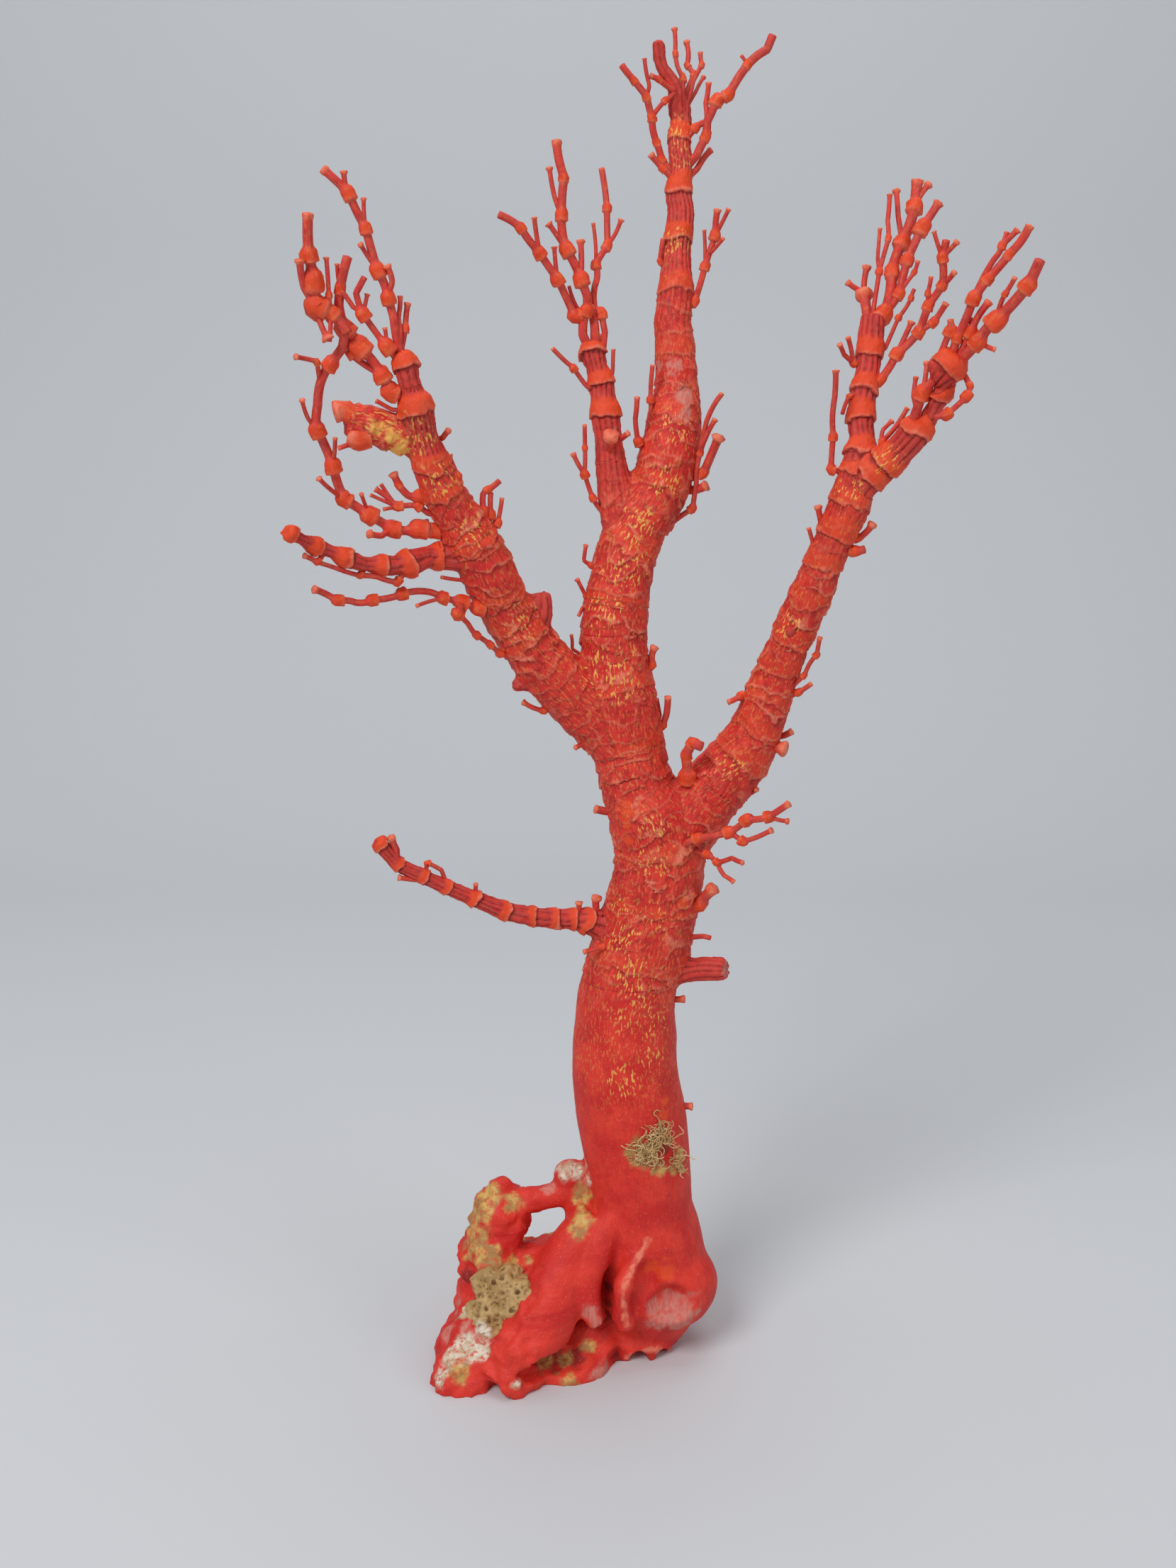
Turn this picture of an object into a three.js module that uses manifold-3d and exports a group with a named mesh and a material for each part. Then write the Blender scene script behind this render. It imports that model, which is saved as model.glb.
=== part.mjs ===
// Red coral branch with its broken holdfast, millimetres, +Z up, front towards -Y.
// Each limb ends at a main fork, and its twigs are fused to it.
import * as THREE from "three";
import { mergeVertices } from "three/addons/utils/BufferGeometryUtils.js";
import Module from "manifold-3d";

const wasm = await Module();
wasm.setup();

// Driving dimensions
const CUT_GAP = 0.3;
const EYE = new THREE.Vector3(-16, -480, 290);
const TRUNK_SIDES = 12;
const STOUT_LIMB = 11;
const LIMB_SIDES = { stout: 10, slender: 8 };
const STOUT_ROD = 3.6;
const FINE_ROD = 2.3;
const ROD_SIDES = { stout: 5, middling: 4, fine: 3 };
const KNUCKLE_DROP = 0.3;
const TIP_TAPER = 0.7;
const LIP_DROP = 0.5;
const TWIG_SMOOTHING = 0.25;
const LUMP_SMOOTHING = 1.3;
const ROCK_GAP = 0.5;
const ROCK_SMOOTHING = 0.2;
const FLOOR_BLOCK = 400;

const CORAL = { color: 0xc22a1c, roughness: 0.55, metalness: 0 };
const ROCK = { color: 0xb08a52, roughness: 0.95, metalness: 0 };
const FIBRE = { color: 0xb59a5c, roughness: 0.9, metalness: 0 };

// Places are read as x and height in the upright front plane, then moved
// along the line of sight by a depth towards the viewer.
function at(x, z, depth) {
  return new THREE.Vector3(x, 0, z).lerp(EYE, depth / -EYE.y);
}

// Solids from three.js geometry
function solid(geometry) {
  const mesh = new wasm.Mesh({
    numProp: 3,
    vertProperties: Float32Array.from(geometry.attributes.position.array),
    triVerts: Uint32Array.from(geometry.index.array),
  });
  return new wasm.Manifold(mesh);
}

function bare(geometry) {
  geometry.deleteAttribute("normal");
  geometry.deleteAttribute("uv");
  return mergeVertices(geometry, 1e-5);
}

// A closed tube through rings of { place, along, radius }.
function tube(rings, sides) {
  const last = rings.length - 1;
  const geometry = bare(new THREE.CylinderGeometry(1, 1, last, sides, last));
  const points = geometry.attributes.position;
  const towardsBack = new THREE.Vector3(0, 1, 0);
  for (let i = 0; i < points.count; i += 1) {
    const ring = rings[Math.round(points.getY(i) + last / 2)];
    const across = towardsBack.clone().addScaledVector(ring.along, -towardsBack.dot(ring.along));
    across.normalize();
    const side = across.clone().cross(ring.along);
    const place = ring.place.clone();
    place.addScaledVector(across, points.getX(i) * ring.radius);
    place.addScaledVector(side, points.getZ(i) * ring.radius);
    points.setXYZ(i, place.x, place.y, place.z);
  }
  return solid(geometry);
}

// A limb: stations of [x, z, depth, diameter, lip], a smooth curve through them,
// and an overhanging ring wherever a lip is given.
function limb(stations, from, to, sides) {
  const curve = new THREE.CatmullRomCurve3(stations.map((s) => at(s[0], s[1], s[2])));
  const count = stations.length - 1;
  const ringAt = (u, radius, shift = 0) => {
    const along = curve.getTangent(u);
    return { place: curve.getPoint(u).addScaledVector(along, shift), along, radius };
  };
  const rings = [];
  for (let i = from; i <= to; i += 1) {
    const radius = stations[i][3] / 2;
    const lip = stations[i][4] ?? 0;
    const startShift = i === from && from > 0 ? CUT_GAP : 0;
    if (lip > 0 && i > from) {
      rings.push(ringAt(i / count, radius - lip / 2, -LIP_DROP));
    }
    rings.push(ringAt(i / count, radius + lip, startShift));
  }
  const girth = stations[from][3] > STOUT_LIMB ? LIMB_SIDES.stout : LIMB_SIDES.slender;
  return tube(rings, sides ?? girth);
}

// A jointed twig from root to tip: [x, z, knuckle] with straight rods between.
const twig = (rod, rootDepth, tipDepth, ...path) => ({ rod, rootDepth, tipDepth, path });

// A twig that starts or ends on a knuckle of an earlier twig takes its depth from it.
function depthsOf({ rootDepth, tipDepth, path }, known) {
  const key = (p) => `${p[0]} ${p[1]}`;
  const first = known.get(key(path[0])) ?? rootDepth;
  const last = known.get(key(path[path.length - 1])) ?? tipDepth;
  const run = [0];
  for (let i = 1; i < path.length; i += 1) {
    run.push(run[i - 1] + Math.hypot(path[i][0] - path[i - 1][0], path[i][1] - path[i - 1][1]));
  }
  const depths = run.map((r) => first + ((last - first) * r) / run[run.length - 1]);
  path.forEach((p, i) => known.set(key(p), depths[i]));
  return depths;
}

// Each rod narrows from the knuckle it grows on to just under the next one.
function twigSolid(one, known) {
  const { rod, path } = one;
  const depths = depthsOf(one, known);
  const places = path.map((p, i) => at(p[0], p[1], depths[i]));
  const last = places.length - 1;
  const rings = [];
  places.forEach((place, i) => {
    const before = i > 0 ? place.clone().sub(places[i - 1]).normalize() : null;
    const after = i < last ? places[i + 1].clone().sub(place).normalize() : null;
    const along = new THREE.Vector3();
    if (before) along.add(before);
    if (after) along.add(after);
    along.normalize();
    const knuckle = path[i][2];
    if (knuckle > rod && before && (after || knuckle > rod * 1.2)) {
      const under = place.clone().addScaledVector(before, -knuckle * KNUCKLE_DROP);
      rings.push({ place: under, along: before, radius: rod / 2 });
    }
    const bare = i === last ? rod * TIP_TAPER : rod;
    rings.push({ place, along, radius: Math.max(knuckle, bare) / 2 });
  });
  let sides = ROD_SIDES.middling;
  if (rod >= STOUT_ROD) sides = ROD_SIDES.stout;
  if (rod < FINE_ROD) sides = ROD_SIDES.fine;
  return tube(rings, sides);
}

// A lump: an ellipsoid of half sizes across, in depth and in height.
function lump(x, z, depth, across, deep, high, grow = 0) {
  const geometry = bare(new THREE.SphereGeometry(1, 8, 6));
  const middle = at(x, z, depth);
  geometry.scale(across + grow, deep + grow, high + grow);
  geometry.translate(middle.x, middle.y, middle.z);
  return solid(geometry);
}

// A plain bent root of the holdfast: stations of [x, z, depth, diameter].
const root = (...stations) => limb(stations, 0, stations.length - 1, 8);

const union = (shapes) => wasm.Manifold.union(shapes);

function withTwigs(bodies, twigs) {
  const known = new Map();
  return union([...bodies, ...twigs.map((one) => twigSolid(one, known))]);
}

// Trunk and upper stem: one line, parted just above the crotch of the right limb
const TRUNK = [
  [0, -6, -6, 22], [2, 6, -3, 28], [4.6, 20, 0, 40], [3, 36, 0, 38.4], [1.4, 48, 0, 34.6],
  [0.5, 62, 0, 34.6],
  [-1.5, 78, 0, 36],
  [-4, 96, 0, 34.6], [-4, 108, 0, 33.2], [-3.6, 120, 0, 31.4], [-1, 132, 0, 30.4, 0.6],
  [2, 142, 0, 30.6],
  [4.4, 152, 0, 29, 0.6], [6, 161, 1, 28.4], [6.6, 170, 1, 28.6, 0.6], [4, 179, 2, 27],
  [0.2, 188, 2, 22.6],
  [-1.8, 195, 2, 22.2], [-3.6, 203, 2, 22.4, 0.5], [-5.4, 212, 3, 23], [-6.8, 221, 3, 22.6, 0.5],
  [-7.8, 230, 3, 21.2], [-8, 238, 3, 20.2], [-7.4, 246, 2, 19.6],
];
const STEM_CUT = 17;
const CENTRE_CUT = 22;

// Right limb, parted from the trunk above the crotch, then into two forks
const RIGHT = [
  [6, 164, 1, 22], [15, 178, 1, 22.4], [24.5, 191, 2, 20.4], [32, 200, 4, 18.6, 0.6],
  [36.6, 209, 6, 15.6, 0.6],
  [39.6, 218, 8, 14.8, 0.7], [42.6, 227, 10, 13, 0.7], [46.6, 237, 13, 12.4, 0.8],
  [51.4, 248.5, 17, 12.8, 0.8],
  [55.6, 259, 20, 11.6, 0.4], [59.6, 268.5, 23, 11.2, 0.8], [63, 277.5, 25, 12, 0.7],
  [64.6, 285, 25.5, 10.4],
  [65.6, 291, 24, 9],
];
const RIGHT_CUT = 2;
const INNER = [
  [64.6, 285, 25.5, 10.4], [65.6, 291.4, 24, 9], [66, 296, 22, 7.2], [65.3, 302, 20, 7.8, 0.6],
  [66, 309.5, 17, 7.6, 0.5], [66.8, 315, 15, 7.2], [67.4, 320, 13, 7.8, 0.5], [67.6, 326, 11, 8],
  [68, 332, 10, 7.2],
];
const OUTER = [
  [63, 279, 25, 10], [69, 285.5, 27.5, 10], [73.6, 289, 30, 9.4], [78.4, 293.6, 33, 8.6],
  [82.4, 298.8, 36, 9.4, 0.6],
  [83.6, 301, 37, 7],
];
const OUTER_CUT = 2;

// Left limb and its stout side branch
const LEFT = [
  [-6, 205, 3, 20], [-16, 214.5, 4, 19.6], [-24.5, 223, 8, 18.2], [-31.4, 231, 11.8, 17],
  [-35, 236, 13.6, 16.6, 0.6],
  [-39, 242, 16, 16, 0.6], [-43, 249, 19, 15.8, 0.6], [-46.6, 257, 23, 15.8],
  [-50.5, 265, 26, 15.2, 0.7],
  [-55.5, 273, 29, 13.4], [-59.5, 280, 32, 11.6, 0.8], [-63, 288.5, 35, 11.2, 0.5], [-65.2, 297, 38, 8],
  [-67, 304.5, 40.5, 9.6, 0.7], [-68, 308, 41, 9],
];
const LEFT_CUT = 3;
const SIDE = [
  [-51, 261, 24.5, 9], [-61.5, 261, 29, 7.6], [-64.6, 261, 31, 6.2], [-70.6, 259, 35, 8.4],
  [-74.5, 258.5, 38, 5.6],
  [-78.4, 258.6, 40, 6.4, 0.4], [-83.5, 258.8, 43, 4.2], [-89.5, 260.7, 46, 5.6, 0.4],
  [-94, 262.6, 48.5, 3.8],
  [-98.6, 264.2, 51, 6], [-103, 266.6, 55, 3.6], [-107.3, 268.8, 59, 5.4],
];
const SIDE_CUT = 1;

// Centre limb, and the centre-left limb that forks from it
const CENTRE = [
  [-7.8, 230, 3, 21.2], [-8, 238, 3, 20.2], [-7.4, 246, 2, 19.6, 0.5], [-6.2, 253, 1, 19],
  [-4.4, 262, 0, 18.2, 0.5],
  [-0.6, 271, -2, 18.6], [4.6, 280, -4, 18.2, 0.5], [8, 290, -6, 18], [9.6, 300, -9, 17, 0.4],
  [10.3, 310, -12, 14],
  [9.9, 320, -14.5, 12.2, 0.4], [9, 330, -17, 11.6], [9.8, 338, -19, 11, 0.5], [9.9, 345, -21, 9.6],
  [10.2, 352, -23, 8.8, 0.3], [11.2, 360, -25, 8.4], [10.4, 366, -26.5, 8, 0.4], [11, 372, -28, 7],
  [10.2, 380, -30, 7.2, 0.3], [11, 386, -32, 6.4], [10.5, 391, -33, 5.4],
];
const CENTRE_FROM = 1;
const CENTRE_LEFT = [
  [-3.6, 262, 0, 13], [-7.4, 276, -1, 11], [-9.2, 290, -2, 9.6], [-9.9, 296.5, -2.5, 8.4],
  [-10.7, 303, -3, 9, 0.6],
  [-11.5, 308, -4, 7.4], [-12, 311.5, -4.5, 8, 0.6], [-13.4, 316.6, -5, 6.6],
  [-14.7, 321, -5.5, 8.6, 0.7],
  [-15, 324, -6, 6],
];
const CENTRE_LEFT_CUT = 2;

// Low branch on the left of the trunk
const LOW = [
  [-4, 142, 2, 9.6], [-13.4, 145.2, 4, 9], [-15.8, 146, 4.5, 8.4, 0.6], [-20.4, 146.6, 5.5, 7.2, 0.4],
  [-25.8, 146.9, 7, 6.8, 0.4], [-33.3, 147.5, 9, 6.4, 0.4], [-42, 149.3, 11, 6.2, 0.4],
  [-51.6, 153.2, 13.5, 5.6, 0.5],
  [-60.6, 157.1, 16, 5.2, 0.4], [-67.8, 160.4, 18, 4.8, 0.4], [-75.9, 164.6, 20, 4.6, 0.5],
  [-82.5, 172.4, 23, 5.4],
];
const LOW_CUT = 1;

// Twigs: rod, depth at root, depth at tip, then the path from root to tip
const TRUNK_TWIGS = [
  twig(2.4, 12, 30, [14, 171, 0], [18.7, 173.2, 3.6], [28.7, 175.1, 4], [34.1, 179.3, 4],
    [41, 180.1, 3.6], [47.1, 184.3, 2.4]),
  twig(1.5, 25, 29, [41, 180.1, 0], [47.1, 178.6, 2]),
  twig(1.8, 18, 26, [28.7, 175.1, 0], [32.9, 172, 3.4], [42.1, 175.9, 2.2]),
  twig(1.8, 8, 24, [15, 170, 0], [21.8, 167.8, 3], [24.9, 165.1, 2.6], [29.5, 166.7, 0],
    [33.3, 165.1, 1.6]),
  twig(1.6, 15, 20, [24.9, 165.1, 0], [27.2, 160.9, 0], [30.4, 158.8, 1.8]),
  twig(4, 2, 10, [12, 150, 0], [19.6, 152, 5.4], [24, 157, 4.4]),
  twig(7.6, 0, 8, [8, 128, 0], [20, 129.8, 8], [28.6, 130.2, 7]),
  twig(2, 4, 8, [12, 140, 0], [21, 141, 0], [23.7, 140.2, 1.6]),
  twig(2.4, 2, 4, [8, 119.6, 0], [15.2, 119.8, 2.6]),
  twig(2.6, 0, 2, [10, 83.4, 0], [18.2, 83, 2.4]),
  twig(3, 2, 4, [-6, 182, 0], [-14.2, 182.8, 2.6]),
  twig(1.8, 8, 12, [-6, 139, 0], [-12, 137.4, 2.4], [-17.4, 135.6, 1.6]),
  twig(3.6, 4, 16, [17, 184, 0], [15, 193.4, 5.6], [14.4, 199.6, 3.4], [16.6, 204, 3.6],
    [19.8, 202.4, 3]),
  twig(3.4, -10, -30, [2, 150, 0], [4, 158, 4.6], [3, 168, 4], [5, 174, 3.4]),
  twig(4, -10, -26, [-2, 112, 0], [-3, 120, 5]),
];
const STEM_TWIGS = [
  twig(2.4, 0, 4, [2, 205, 0], [7, 209, 3], [8.4, 213, 0], [8.7, 218.4, 2.4]),
  twig(1.8, 4, 8, [-12, 204, 0], [-17.3, 203.5, 0], [-20.2, 202, 1.8]),
  twig(1.8, 6, 10, [-20, 216, 0], [-30, 213.8, 2.4], [-36.3, 216.6, 2]),
  twig(3.4, -6, -40, [-4, 210, 0], [-4, 216, 4.6], [-6, 222, 4.4], [-5, 228, 4]),
  twig(2.4, 4, 6, [0, 226, 0], [3.8, 228, 2.8], [4.7, 233.8, 2.6]),
  twig(4.2, 9, 14, [-30, 222.6, 0], [-39.2, 221.4, 4.2]),
];
const RIGHT_TWIGS = [
  twig(4, 6, 10, [38, 203, 0], [46, 201.4, 5]),
  twig(2.4, 4, 6, [40, 204.5, 0], [45, 206, 0], [47.6, 207.4, 2.4]),
  twig(1.6, 4, 8, [34, 187, 0], [37, 189, 1.8]),
  twig(1.8, 9, 14, [44, 217, 0], [49.2, 219.6, 2.4], [53.2, 222.4, 1.8]),
  twig(1.6, 10, 20, [45, 219, 0], [50.8, 224.8, 2], [54.4, 231.2, 2.2], [55.2, 236.6, 1.8]),
  twig(2, 8, 12, [36, 219, 0], [31.2, 218.4, 2.6], [27.2, 216.4, 1.8]),
  twig(2, 22, 24, [58, 268, 0], [54.8, 270.4, 2.6], [53.4, 276.4, 2.4]),
  twig(2.2, 22, 26, [61, 265, 0], [66, 266.6, 2.6], [70.4, 271.2, 2.8]),
  twig(2.8, 22, 26, [58, 262, 0], [65.2, 262.8, 3.4], [68.8, 263.6, 2]),
  twig(3, 25, 28, [62, 286, 0], [57, 287, 3.2], [57.4, 296.7, 2.8], [57.5, 308.4, 0], [57.5, 316.2, 2]),
  twig(3.2, 20, -2, [46, 238, 0], [47, 243, 4.6], [48, 249, 3.6]),
  twig(2.8, 6, -16, [34, 206, 0], [36, 212, 4], [36, 218, 3]),
];
const INNER_TWIGS = [
  twig(3.4, 9, 2, [66.6, 328, 0], [65.9, 333.6, 0], [65, 338.2, 5.4]),
  twig(1.8, 2, 2, [65, 338.2, 0], [59.9, 341.1, 2]),
  twig(2, 2, 0, [65, 338.2, 0], [65.8, 345.6, 2.6]),
  twig(3.6, 10, -6, [68, 328, 0], [71.3, 332.1, 5.6], [73.1, 344.1, 4.6], [75.8, 352.2, 4.8],
    [79.1, 362.4, 5], [79.6, 369.9, 3.8]),
  twig(2, -5, -6, [79.1, 362.4, 0], [83, 368.4, 2.6]),
  twig(2.8, 6, 4, [71.3, 332.1, 0], [75.5, 337.8, 3.8], [77.6, 347.4, 4], [81.5, 356.4, 5],
    [86.2, 363.6, 3]),
  twig(1.8, -2, -6, [75.8, 352.2, 0], [74.3, 359.4, 0], [73.4, 366.8, 2.4]),
  twig(1.6, 8, 0, [68, 331, 0], [68.6, 337.8, 0], [69.4, 344.1, 2.4], [71.8, 353.4, 2],
    [71.3, 358.2, 0], [71.6, 365.6, 1.6]),
  twig(2.6, 16, 24, [67, 310, 0], [71, 313.2, 3.2], [75.5, 320.7, 4], [81.8, 327, 3.8],
    [84.2, 334.5, 3.2], [88.2, 340.2, 3], [87.7, 348, 3.2], [88.6, 352.8, 2]),
  twig(1.6, 24, 26, [87.7, 348, 0], [92, 352.5, 2]),
  twig(1.8, 23, 26, [88.2, 340.2, 0], [91.6, 344.1, 2]),
  twig(1.8, 18, 18, [75.5, 320.7, 0], [79.6, 330, 2.2]),
  twig(2, 20, 24, [81.8, 327, 0], [86, 329.7, 2.8], [89.6, 335.4, 2.2]),
  twig(1.6, 14, 18, [66, 317, 0], [62.6, 318, 2.4], [60.8, 325.5, 1.6]),
  twig(1.6, 16, 20, [62.6, 318, 0], [59.9, 320.4, 0], [58.3, 323.6, 1.8]),
  twig(3, 14, -12, [67, 318, 0], [68, 324, 4], [70, 332, 3.4]),
];
const OUTER_TWIGS = [
  twig(3, 36, 43, [80, 298, 0], [81.6, 303.4, 0], [83.6, 309.6, 4.6], [88, 316, 0]),
  twig(4.6, 36, 44, [85, 299, 0], [87, 304, 0], [89.2, 309, 5.6], [91.6, 316, 0]),
  twig(2, 36, 40, [83, 299, 0], [84.6, 304, 0], [87.4, 309, 0]),
  twig(7.4, 42, 46, [88, 313, 0], [90.8, 316.8, 9.6], [93, 321, 0]),
  twig(4, 43, 44, [85.4, 317.6, 0], [96.4, 316, 0]),
  twig(2, 44, 46, [88, 318, 0], [89.3, 322.8, 0], [91.1, 327.3, 3.8], [90.8, 330.9, 1.8]),
  twig(2.6, 45, 56, [91.5, 319, 0], [93.2, 325.5, 3], [97.4, 336.6, 4.2], [101.3, 342, 3.2],
    [107.3, 348.9, 2.6], [113, 357.3, 2.4]),
  twig(1.8, 49, 54, [97.4, 336.6, 0], [102.8, 347.4, 0], [105, 351.4, 2.4], [109.7, 356.1, 2.2]),
  twig(2.2, 45, 50, [93.5, 319, 0], [97.1, 327, 3.8], [102.2, 335.7, 2.4]),
  twig(3.4, 45, 61, [93.5, 318, 0], [99.2, 324, 4.8], [104.6, 330.3, 6], [113.3, 340.2, 4.6],
    [116.3, 347.1, 1.8]),
  twig(1.5, 52, 58, [104.6, 330.3, 0], [106.7, 337.8, 1.8], [109.4, 342.6, 1.6]),
  twig(1.5, 47, 50, [99.2, 324, 0], [104.6, 321.8, 1.4]),
  twig(1.8, 43, 50, [94.4, 316.4, 0], [97.7, 311.4, 2], [96.5, 308.1, 3.2], [90.8, 303, 3.4],
    [86.4, 302, 0]),
  twig(1.6, 38, 36, [83.6, 309.6, 0], [84.5, 318.3, 2]),
  twig(1.5, 37, 34, [81.8, 305, 0], [80.9, 308.4, 0], [81.4, 314.1, 1.6]),
  twig(1.6, 31, 30, [74.6, 290.6, 0], [71.9, 295.2, 2.6], [75.8, 299.4, 0], [79.4, 305.4, 1.8]),
  twig(2.8, 34, 16, [78, 294, 0], [81, 299, 3.8], [82, 304, 3]),
];
const LEFT_TWIGS = [
  twig(5.4, 41, 43, [-67.6, 306, 0], [-70, 316.6, 7], [-71.8, 321.5, 5]),
  twig(2.6, 43, 48, [-71.6, 320, 0], [-73.4, 331.2, 0], [-74.8, 336.7, 4.4], [-77.8, 344.5, 4.4],
    [-80.9, 356.2, 3.8], [-85.6, 366, 4.2], [-92.6, 372.4, 2.8]),
  twig(1.6, 47, 48, [-85.6, 366, 0], [-86.7, 372.2, 2]),
  twig(1.8, 44, 46, [-74.8, 336.7, 0], [-73.4, 341, 0], [-75, 345.9, 2.2]),
  twig(1.5, 43, 42, [-71.8, 322, 0], [-71.9, 331, 0], [-71.2, 337.4, 1.6]),
  twig(1.8, 43, 40, [-71.4, 321, 0], [-69.9, 328, 2.4], [-69, 335.2, 2]),
  twig(2, 43, 50, [-70.4, 315, 0], [-75.7, 322.9, 4.8], [-82.4, 332.1, 4.4], [-84.2, 338, 0],
    [-81.6, 342.4, 1.6]),
  twig(3, 41, 50, [-68, 307, 0], [-74.8, 309.6, 5.6], [-77.3, 314.7, 5.2], [-84, 322.9, 6.4],
    [-88.1, 328, 5.2], [-89.4, 334.3, 0], [-88.8, 339.3, 3.2], [-86.2, 348.6, 2]),
  twig(1.6, 49, 50, [-88.8, 339, 0], [-85.2, 334, 0], [-82.4, 332.1, 0]),
  twig(2, 44, 46, [-77.3, 314.7, 0], [-86.5, 320.7, 3], [-84, 322.9, 0]),
  twig(3.2, 49, 55, [-87, 326.5, 0], [-92.2, 332.6, 4.4], [-96, 334.3, 6.6], [-96.6, 341.3, 6],
    [-97.6, 348.6, 4.8], [-97.5, 360.3, 3]),
  twig(2.2, 53, 56, [-96, 334.3, 0], [-99.4, 339.4, 0], [-100.4, 347.8, 3]),
  twig(1.8, 52, 52, [-96, 334.3, 0], [-92.5, 324.2, 3.6]),
  twig(3, 27, 48, [-55, 268.6, 0], [-63.2, 269, 5], [-67.4, 269.4, 6], [-75.1, 269.4, 5.2],
    [-82.2, 273.6, 5.6], [-89.7, 278.5, 4.8], [-92.7, 288.3, 4.8], [-97.1, 298.9, 4.8],
    [-96.6, 306, 0], [-95.6, 312.2, 0], [-92.2, 317.9, 4.4], [-88.7, 322.4, 0], [-87.8, 327, 0]),
  twig(1.5, 49, 52, [-95.6, 312.2, 0], [-96.3, 318.5, 2], [-103, 319.9, 2]),
  twig(1.5, 40, 44, [-89.7, 278.5, 0], [-97.2, 284.7, 1.8]),
  twig(2, 34, 38, [-75.1, 269.4, 0], [-78.6, 267.4, 0], [-82.5, 268, 2.6]),
  twig(9, 35, 42, [-66, 295, 0], [-74, 297.6, 10], [-83, 300.6, 10], [-88, 301.6, 8]),
  twig(4.4, 42, 44, [-84, 302, 0], [-88.6, 306.4, 3.6], [-92, 303, 3.4]),
  twig(1.6, 40, 44, [-82, 296.5, 0], [-87.1, 294.6, 2], [-91, 293.3, 1.4]),
  twig(1.8, 35, 37, [-61, 296, 0], [-59.6, 296.3, 0], [-57.5, 298.8, 1.8]),
  twig(1.8, 30, 36, [-57, 273, 0], [-64.3, 274, 0], [-67.4, 276.4, 3.2], [-73.7, 276.1, 3.2],
    [-80.4, 281.6, 2]),
  twig(2.4, 31, 36, [-61, 279, 0], [-66.7, 279.2, 4.4], [-70.2, 279.4, 0], [-73, 282.6, 2.4],
    [-74.8, 286.4, 2.8]),
  twig(2.2, 22, 48, [-43, 245.5, 0], [-49.9, 245.6, 4.6], [-54.8, 247.4, 4.6], [-60.4, 248.6, 4],
    [-67.4, 250.7, 0], [-73, 249.7, 3.8], [-82.1, 248, 3.6], [-87, 247.2, 0], [-92.6, 247.8, 3.4],
    [-100, 251.4, 2.6]),
  twig(1.8, 14, 30, [-36, 234, 0], [-40.6, 230.6, 0], [-43.3, 231.6, 2.4], [-46.1, 234.4, 2.4],
    [-50.3, 237.2, 2.6], [-52.7, 240.7, 0], [-55.9, 243.9, 4], [-54.8, 247, 0]),
  twig(2, 26, 24, [-50, 269, 0], [-47.5, 275, 3], [-47.6, 280.3, 0], [-46, 281.2, 2.4],
    [-42.6, 283.8, 1.6]),
  twig(1.8, 24, 24, [-47, 268, 0], [-45.4, 273.6, 3], [-45.2, 281, 0]),
  twig(1.5, 24, 22, [-46, 266, 0], [-43.3, 271.2, 3], [-41.9, 278.7, 1.4]),
  twig(6, 14, 16, [-33, 236, 0], [-29.8, 243, 6.4], [-30.3, 250.4, 5]),
  twig(1.8, 34, 33, [-58, 282, 0], [-55.2, 285, 3], [-58, 291.6, 2.6]),
  twig(3, 24, 0, [-45, 256, 0], [-46, 262, 4.4], [-49, 268, 3.6]),
  twig(3, 34, 16, [-62, 287, 0], [-61, 292, 4], [-64, 297, 3.2]),
];
const SIDE_TWIGS = [
  twig(1.6, 50, 54, [-96.4, 262, 0], [-98.2, 259.4, 2.2], [-102.4, 261.5, 1.8]),
  twig(1.5, 42, 47, [-84, 257.5, 0], [-85.3, 255.4, 2.4], [-93.3, 257.9, 0], [-98.2, 259.4, 0]),
  twig(1.8, 37, 42, [-72, 256.4, 0], [-74, 253.4, 2.8], [-80, 255, 0], [-85.3, 255.4, 0]),
];
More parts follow.
